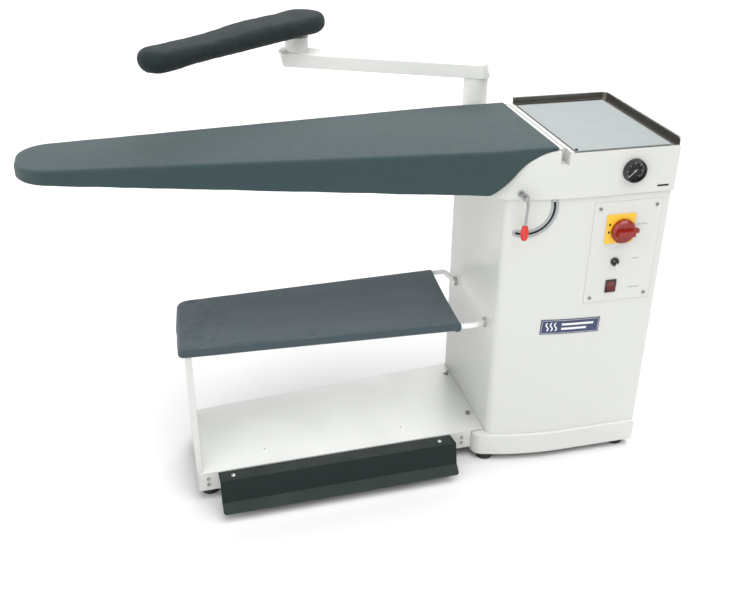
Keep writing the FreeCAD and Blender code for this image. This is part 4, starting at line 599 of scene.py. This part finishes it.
def sleeve_board_cover():
    along = Vector((math.cos(BUCK_TURN), math.sin(BUCK_TURN)))
    side = Vector((-along.y, along.x))
    heel = -(BUCK_HEEL - BUCK_WIDE)
    tip = BUCK_TIP - BUCK_SLIM
    lean = math.degrees(math.asin((BUCK_WIDE - BUCK_SLIM) / (tip - heel)))
    local = arc_points(Vector((tip, 0)), BUCK_SLIM, 90 - lean, -90 + lean, 5)
    turned = math.radians(90 - lean)
    edge = Vector((math.cos(turned), math.sin(turned)))
    mirrored = Vector((edge.x, -edge.y))
    local += spaced(Vector((tip, 0)) + mirrored * BUCK_SLIM, Vector((heel, 0)) + mirrored * BUCK_WIDE, 7)
    local += arc_points(Vector((heel, 0)), BUCK_WIDE, -90 + lean, -270 - lean, 5)
    local += spaced(Vector((heel, 0)) + edge * BUCK_WIDE, Vector((tip, 0)) + edge * BUCK_SLIM, 7)
    spine = [Vector((min(max(p.x, heel), tip), 0.0)) for p in local]
    middle = (BUCK_LOW + BUCK_TOP) / 2
    half_high = (BUCK_TOP - BUCK_LOW) / 2
    rows = []
    for turn in range(-80, 91, 10):
        angle = math.radians(turn)
        points = []
        for k, p in enumerate(local):
            out = (p - spine[k]).normalized()
            radius = (p - spine[k]).length
            round_by = min(22.0, radius * 0.45)
            pinch = smooth_step(-turn, 10, 75)
            gather = lumps((p.x * 1.0, p.y * 1.0, turn * 0.2), 11, 31) * 2.4 * pinch
            gather += lumps((p.x, p.y, 0), 45, 8) * 1.6
            gather += lumps((p.x, p.y, turn * 0.3), 20, 15) * 0.8
            reach = radius - round_by + round_by * math.cos(angle) ** 0.8 - pinch * 3 + gather * 0.6
            q = spine[k] + out * (reach - 1.0)
            rise = buck_rise(p.x) * (turn > 0)
            droop = 3.5 * smooth_step(p.x, tip - 90, tip - 20) * pinch
            z = middle + half_high * math.sin(angle) * (0.97 + 0.03 * pinch) + gather * 0.5 + rise - droop
            world = BUCK_MIDDLE + along * q.x + side * q.y
            points.append(at(world.x, world.y, min(z, BUCK_TOP + 4)))
        rows.append(points)
    low_ring = []
    for k, p in enumerate(local):
        out = (p - spine[k]).normalized()
        radius = (p - spine[k]).length
        q = spine[k] + out * max(radius - 31.0 + 1.2 * lumps((p.x, p.y, 3), 9, 5), 4)
        world = BUCK_MIDDLE + along * q.x + side * q.y
        low_ring.append(at(world.x, world.y, BUCK_LOW + 2.5))
    rows.insert(0, low_ring)
    for step in range(1, 11):
        share = step / 10
        points = []
        for k, p in enumerate(local):
            out = (p - spine[k]).normalized()
            radius = (p - spine[k]).length
            round_by = min(22.0, radius * 0.45)
            q = spine[k] + out * ((radius - round_by - 1.0) * (1 - share))
            crown = 1.5 * math.sin(share * math.pi / 2) + 1.0 * lumps((q.x, q.y, 0), 55, 8)
            world = BUCK_MIDDLE + along * q.x + side * q.y
            points.append(at(world.x, world.y, middle + half_high * 0.97 + crown + buck_rise(p.x)))
        rows.append(points)
    mesh = woven_rows("sleeve_board_padding", rows, True)
    cover = piece("sleeve_board_padding", mesh, "sleeve_board", "buck_cloth")
    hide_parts("buck_cover")


# ---------------------------------------------------------------- small fittings and printed marks

FRONT = -194.0
PANEL_FACE = FRONT - 1.5
SCREW_FACE = PANEL_FACE - 2.2
HEAD_FACE = FRONT - 4.5
PLATE_FACE = PANEL_FACE - 5.0
PADLOCK_HOLES = ((259.5, 677.0), (259.5, 657.0))
BOW_FROM = 205.0
BOW_RADIUS = 740.0


def front_y(x, grow=0.0):
    """The cabinet's curved front, y at x, grown outwards."""
    if x >= BOW_FROM:
        return FRONT - grow
    return FRONT + BOW_RADIUS - math.sqrt((BOW_RADIUS + grow) ** 2 - (BOW_FROM - x) ** 2)


def ribbon(name, path, width, surface, look, thick=0.3, body="cabinet", closed=False):
    """A flat raised line of even width along a path; surface(u, v, lift) gives its points."""
    count = len(path)
    sides = []
    for k, (u, v) in enumerate(path):
        before = path[k - 1] if k or closed else path[k]
        after = path[(k + 1) % count] if k + 1 < count or closed else path[k]
        du, dv = after[0] - before[0], after[1] - before[1]
        length = math.hypot(du, dv) or 1.0
        nu, nv = -dv / length * width / 2, du / length * width / 2
        sides.append([(u + nu, v + nv), (u - nu, v - nv)])
    made = bmesh.new()
    rings = []
    for (au, av), (bu, bv) in sides:
        corners = [(au, av, 0), (au, av, thick), (bu, bv, thick), (bu, bv, 0)]
        rings.append([made.verts.new(surface(*corner)) for corner in corners])
    last = count if closed else count - 1
    for k in range(last):
        here, there = rings[k], rings[(k + 1) % count]
        for j in range(4):
            made.faces.new([here[j], there[j], there[(j + 1) % 4], here[(j + 1) % 4]])
    if not closed:
        made.faces.new(rings[0][::-1])
        made.faces.new(rings[-1])
    return piece(name, from_bmesh(name, made), body, look=look, smooth=False)


def arc_path(radius, first, last, count, u=0.0, v=0.0):
    turns = [math.radians(first + (last - first) * k / count) for k in range(count + 1)]
    return [(u + radius * math.cos(a), v + radius * math.sin(a)) for a in turns]


def upright(y):
    """A flat upright surface facing the operator at y."""
    return lambda u, v, lift: at(u, y - lift, v)


def screw_shades():
    """Painted shade on the control panel's screws: dark crosses for their cross recesses and dark rings
    round their heads.
    """
    places = [(x, z) for x in (232.5, 380.5) for z in (479.0, 718.0)]
    for k, (x, z) in enumerate(places):
        # painted shade: a dark cross where the screw's recess lies
        for turn in (25, 115):
            du, dv = 3.1 * math.cos(math.radians(turn)), 3.1 * math.sin(math.radians(turn))
            name = f"screw_cross_shade_{k}_{turn}"
            cross = [(x - du, z - dv), (x + du, z + dv)]
            ribbon(name, cross, 1.5, upright(SCREW_FACE - 0.02), PAINTED_SHADE_BLACK, 0.15)
        # painted shade: a dark ring where each screw head meets the panel
        ring = arc_path(3.9, 0, 345, 23, x, z)
        ribbon(f"screw_edge_shade_{k}", ring, 0.8, upright(SCREW_FACE + 0.05), PAINTED_SHADE_BLACK, 0.2, closed=True)


def slot_shade_strip():
    """A dark strip behind the trim, painted shade inside the curved slot."""
    def behind(u, v, lift):
        return at(u, front_y(u) + 1.6 - lift, v)
    ribbon("slot_shade_strip", arc_path(67.0, -106, 12, 40, 49.5, 730.0), 6.3, behind, PAINTED_SHADE_BLACK, 0.8)


def gauge_print():
    """The dial's ring of ticks and the thin line round them."""
    dial = upright(-202.55)
    for k in range(19):
        turn = math.radians(225 - 15 * k)
        near, far = (16.5, 21.5) if k % 3 == 0 else (19.0, 21.5)
        path = [(304 + r * math.cos(turn), 811 + r * math.sin(turn)) for r in (near, far)]
        ribbon(f"gauge_tick_{k}", path, 1.1 if k % 3 == 0 else 0.6, dial, PALE_PRINT, 0.12)
    ribbon("gauge_scale", arc_path(22.6, 225, -45, 40, 304, 811), 0.5, dial, PALE_PRINT, 0.12)


def control_labels():
    """Grey printed bars where each control's label stands."""
    panel = upright(PANEL_FACE - 0.02)
    rows = ((335, 362, 669.5), (334, 354, 578), (335, 365, 497.5))
    for k, (left, right, z) in enumerate(rows):
        ribbon(f"label_bar_{k}", [(left, z), (right, z)], 3.6, panel, GREY_PRINT, 0.12)


def nameplate_print():
    """A generic plate: a thin border, three steam waves and two plain bars."""
    tilt = math.radians(2.4)
    middle_x, middle_z = 191.0, 402.75

    def plate(u, v, lift):
        x = middle_x + u * math.cos(tilt) + v * math.sin(tilt)
        z = middle_z - u * math.sin(tilt) + v * math.cos(tilt)
        return at(x, front_y(x, 1.22 + lift), z)

    half_long, half_high = 76.0, 17.8
    signs = ((-1, -1), (1, -1), (1, 1), (-1, 1))
    corners = [(half_long * u, half_high * v) for u, v in signs]
    border = []
    for (au, av), (bu, bv) in zip(corners, corners[1:] + corners[:1]):
        border += [(au + (bu - au) * k / 16, av + (bv - av) * k / 16) for k in range(16)]
    ribbon("plate_border", border, 1.6, plate, GREY_PRINT, 0.15, closed=True)
    for k in range(3):
        start = -62 + 11 * k
        wave = [(start + 3.2 * math.sin(step * 0.52), -11.5 + step * 1.92) for step in range(13)]
        ribbon(f"plate_wave_{k}", wave, 3.4, plate, PALE_PRINT, 0.15)
    for k, (v, reach) in enumerate(((6.2, 62), (-6.2, 44))):
        bar = [(-24 + (reach + 24) * step / 12, v) for step in range(13)]
        ribbon(f"plate_bar_{k}", bar, 6.0, plate, PALE_PRINT, 0.15)


def turned_piece(name, profile, centre, axis, slot=None, look=None, body="cabinet", sides=32):
    """A turned fitting: profile is (radius, height) in millimetres along the axis."""
    centre, axis = Vector(centre), Vector(axis).normalized()
    across = axis.orthogonal().normalized()
    beside = axis.cross(across)
    made = bmesh.new()
    rings = []
    for radius, height in profile:
        ring = []
        for k in range(sides):
            a = 2 * math.pi * k / sides
            q = centre + axis * height + (across * math.cos(a) + beside * math.sin(a)) * radius
            ring.append(made.verts.new(at(*q)))
        rings.append(ring)
    for lower, upper in zip(rings, rings[1:]):
        for k in range(sides):
            made.faces.new([lower[k], lower[(k + 1) % sides], upper[(k + 1) % sides], upper[k]])
    made.faces.new(rings[0][::-1])
    made.faces.new(rings[-1])
    return piece(name, from_bmesh(name, made), body, slot, look)


def small_fittings():
    """Painted shade in the head's key slot and in the main switch's padlock holes, and the tray's corner
    screw.
    """
    # painted shade: a dark disc inside each padlock hole
    for k, (x, z) in enumerate(PADLOCK_HOLES):
        flat = [(0.3, 0.0), (2.7, 0.0), (2.7, 0.35), (0.3, 0.4)]
        turned_piece(f"padlock_hole_shade_{k}", flat, (x, PLATE_FACE, z), (0, -1, 0), look=PAINTED_SHADE_BLACK, sides=20)
    # painted shade: a dark bar where the head's key slot lies
    ribbon("head_slot_shade", [(371.0, 767.0), (401.0, 767.0)], 4.6, upright(HEAD_FACE - 0.02), PAINTED_SHADE_BLACK, 0.3)
    cap = [(3.6, -1.2), (3.6, 0.4), (3.0, 1.3), (1.8, 1.7), (0.4, 1.8)]
    turned_piece("tray_corner_screw", cap, (156.0, -186.0, 868.6), (0, 0, 1), look=PAINTED_SHADE_BLACK)


# ---------------------------------------------------------------- camera, light, floor


def camera():
    azimuth, elevation, roll = math.radians(-15.13), math.radians(28.18), math.radians(0.99)
    back = Vector((
        math.sin(azimuth) * math.cos(elevation),
        -math.cos(azimuth) * math.cos(elevation),
        math.sin(elevation),
    ))
    ahead = -back
    right = ahead.cross(Vector((0, 0, 1))).normalized()
    up = right.cross(ahead)
    right, up = (
        right * math.cos(roll) + up * math.sin(roll),
        up * math.cos(roll) - right * math.sin(roll),
    )
    data = bpy.data.cameras.new("camera")
    data.sensor_width = 36.0
    data.lens = 45.77
    data.shift_x = -0.0195
    data.shift_y = -0.0085
    data.clip_end = 60
    view = bpy.data.objects.new("camera", data)
    turned = Matrix((right, up, back)).transposed().to_4x4()
    view.matrix_world = Matrix.Translation(at(-797.6, -2067.1, 1587.0)) @ turned
    bpy.context.collection.objects.link(view)
    bpy.context.scene.camera = view
    bpy.context.scene.view_settings.view_transform = "Standard"


def sun(name, azimuth, elevation, strength, softness):
    """Even light from one direction; azimuth is seen from above, from the front (-y) towards the right."""
    data = bpy.data.lights.new(name, "SUN")
    data.energy = strength
    data.angle = math.radians(softness)
    light = bpy.data.objects.new(name, data)
    turn, rise = math.radians(azimuth), math.radians(elevation)
    towards = Vector((math.sin(turn) * math.cos(rise), -math.cos(turn) * math.cos(rise), math.sin(rise)))
    light.rotation_euler = towards.to_track_quat("Z", "Y").to_euler()
    light.location = towards * 5
    bpy.context.collection.objects.link(light)


def studio():
    made = bmesh.new()
    bmesh.ops.create_grid(made, x_segments=1, y_segments=1, size=30)
    floor_look = Material("floor_paint", (0.76, 0.76, 0.76), 0.8)
    floor_look.tint(floor_look.ramp(floor_look.cloud(0.8, 3), 0.4, 0.7, 0.0, 0.05), (0.70, 0.70, 0.70))
    floor = bpy.data.objects.new("floor", from_bmesh("floor", made))
    floor.data.materials.append(floor_look.data)
    bpy.context.collection.objects.link(floor)
    world = bpy.data.worlds.new("studio_air")
    world.use_nodes = True
    world.node_tree.nodes["Background"].inputs["Color"].default_value = (0.97, 0.985, 1.0, 1)
    world.node_tree.nodes["Background"].inputs["Strength"].default_value = 0.45
    bpy.context.scene.world = world
    sun("top", 35, 72, 2.6, 60)
    sun("front", -56, 22, 1.45, 60)
    sun("back", 160, 42, 1.4, 40)


board_cover()
garment_sling()
sleeve_board_cover()
screw_shades()
slot_shade_strip()
gauge_print()
control_labels()
nameplate_print()
small_fittings()
camera()
studio()
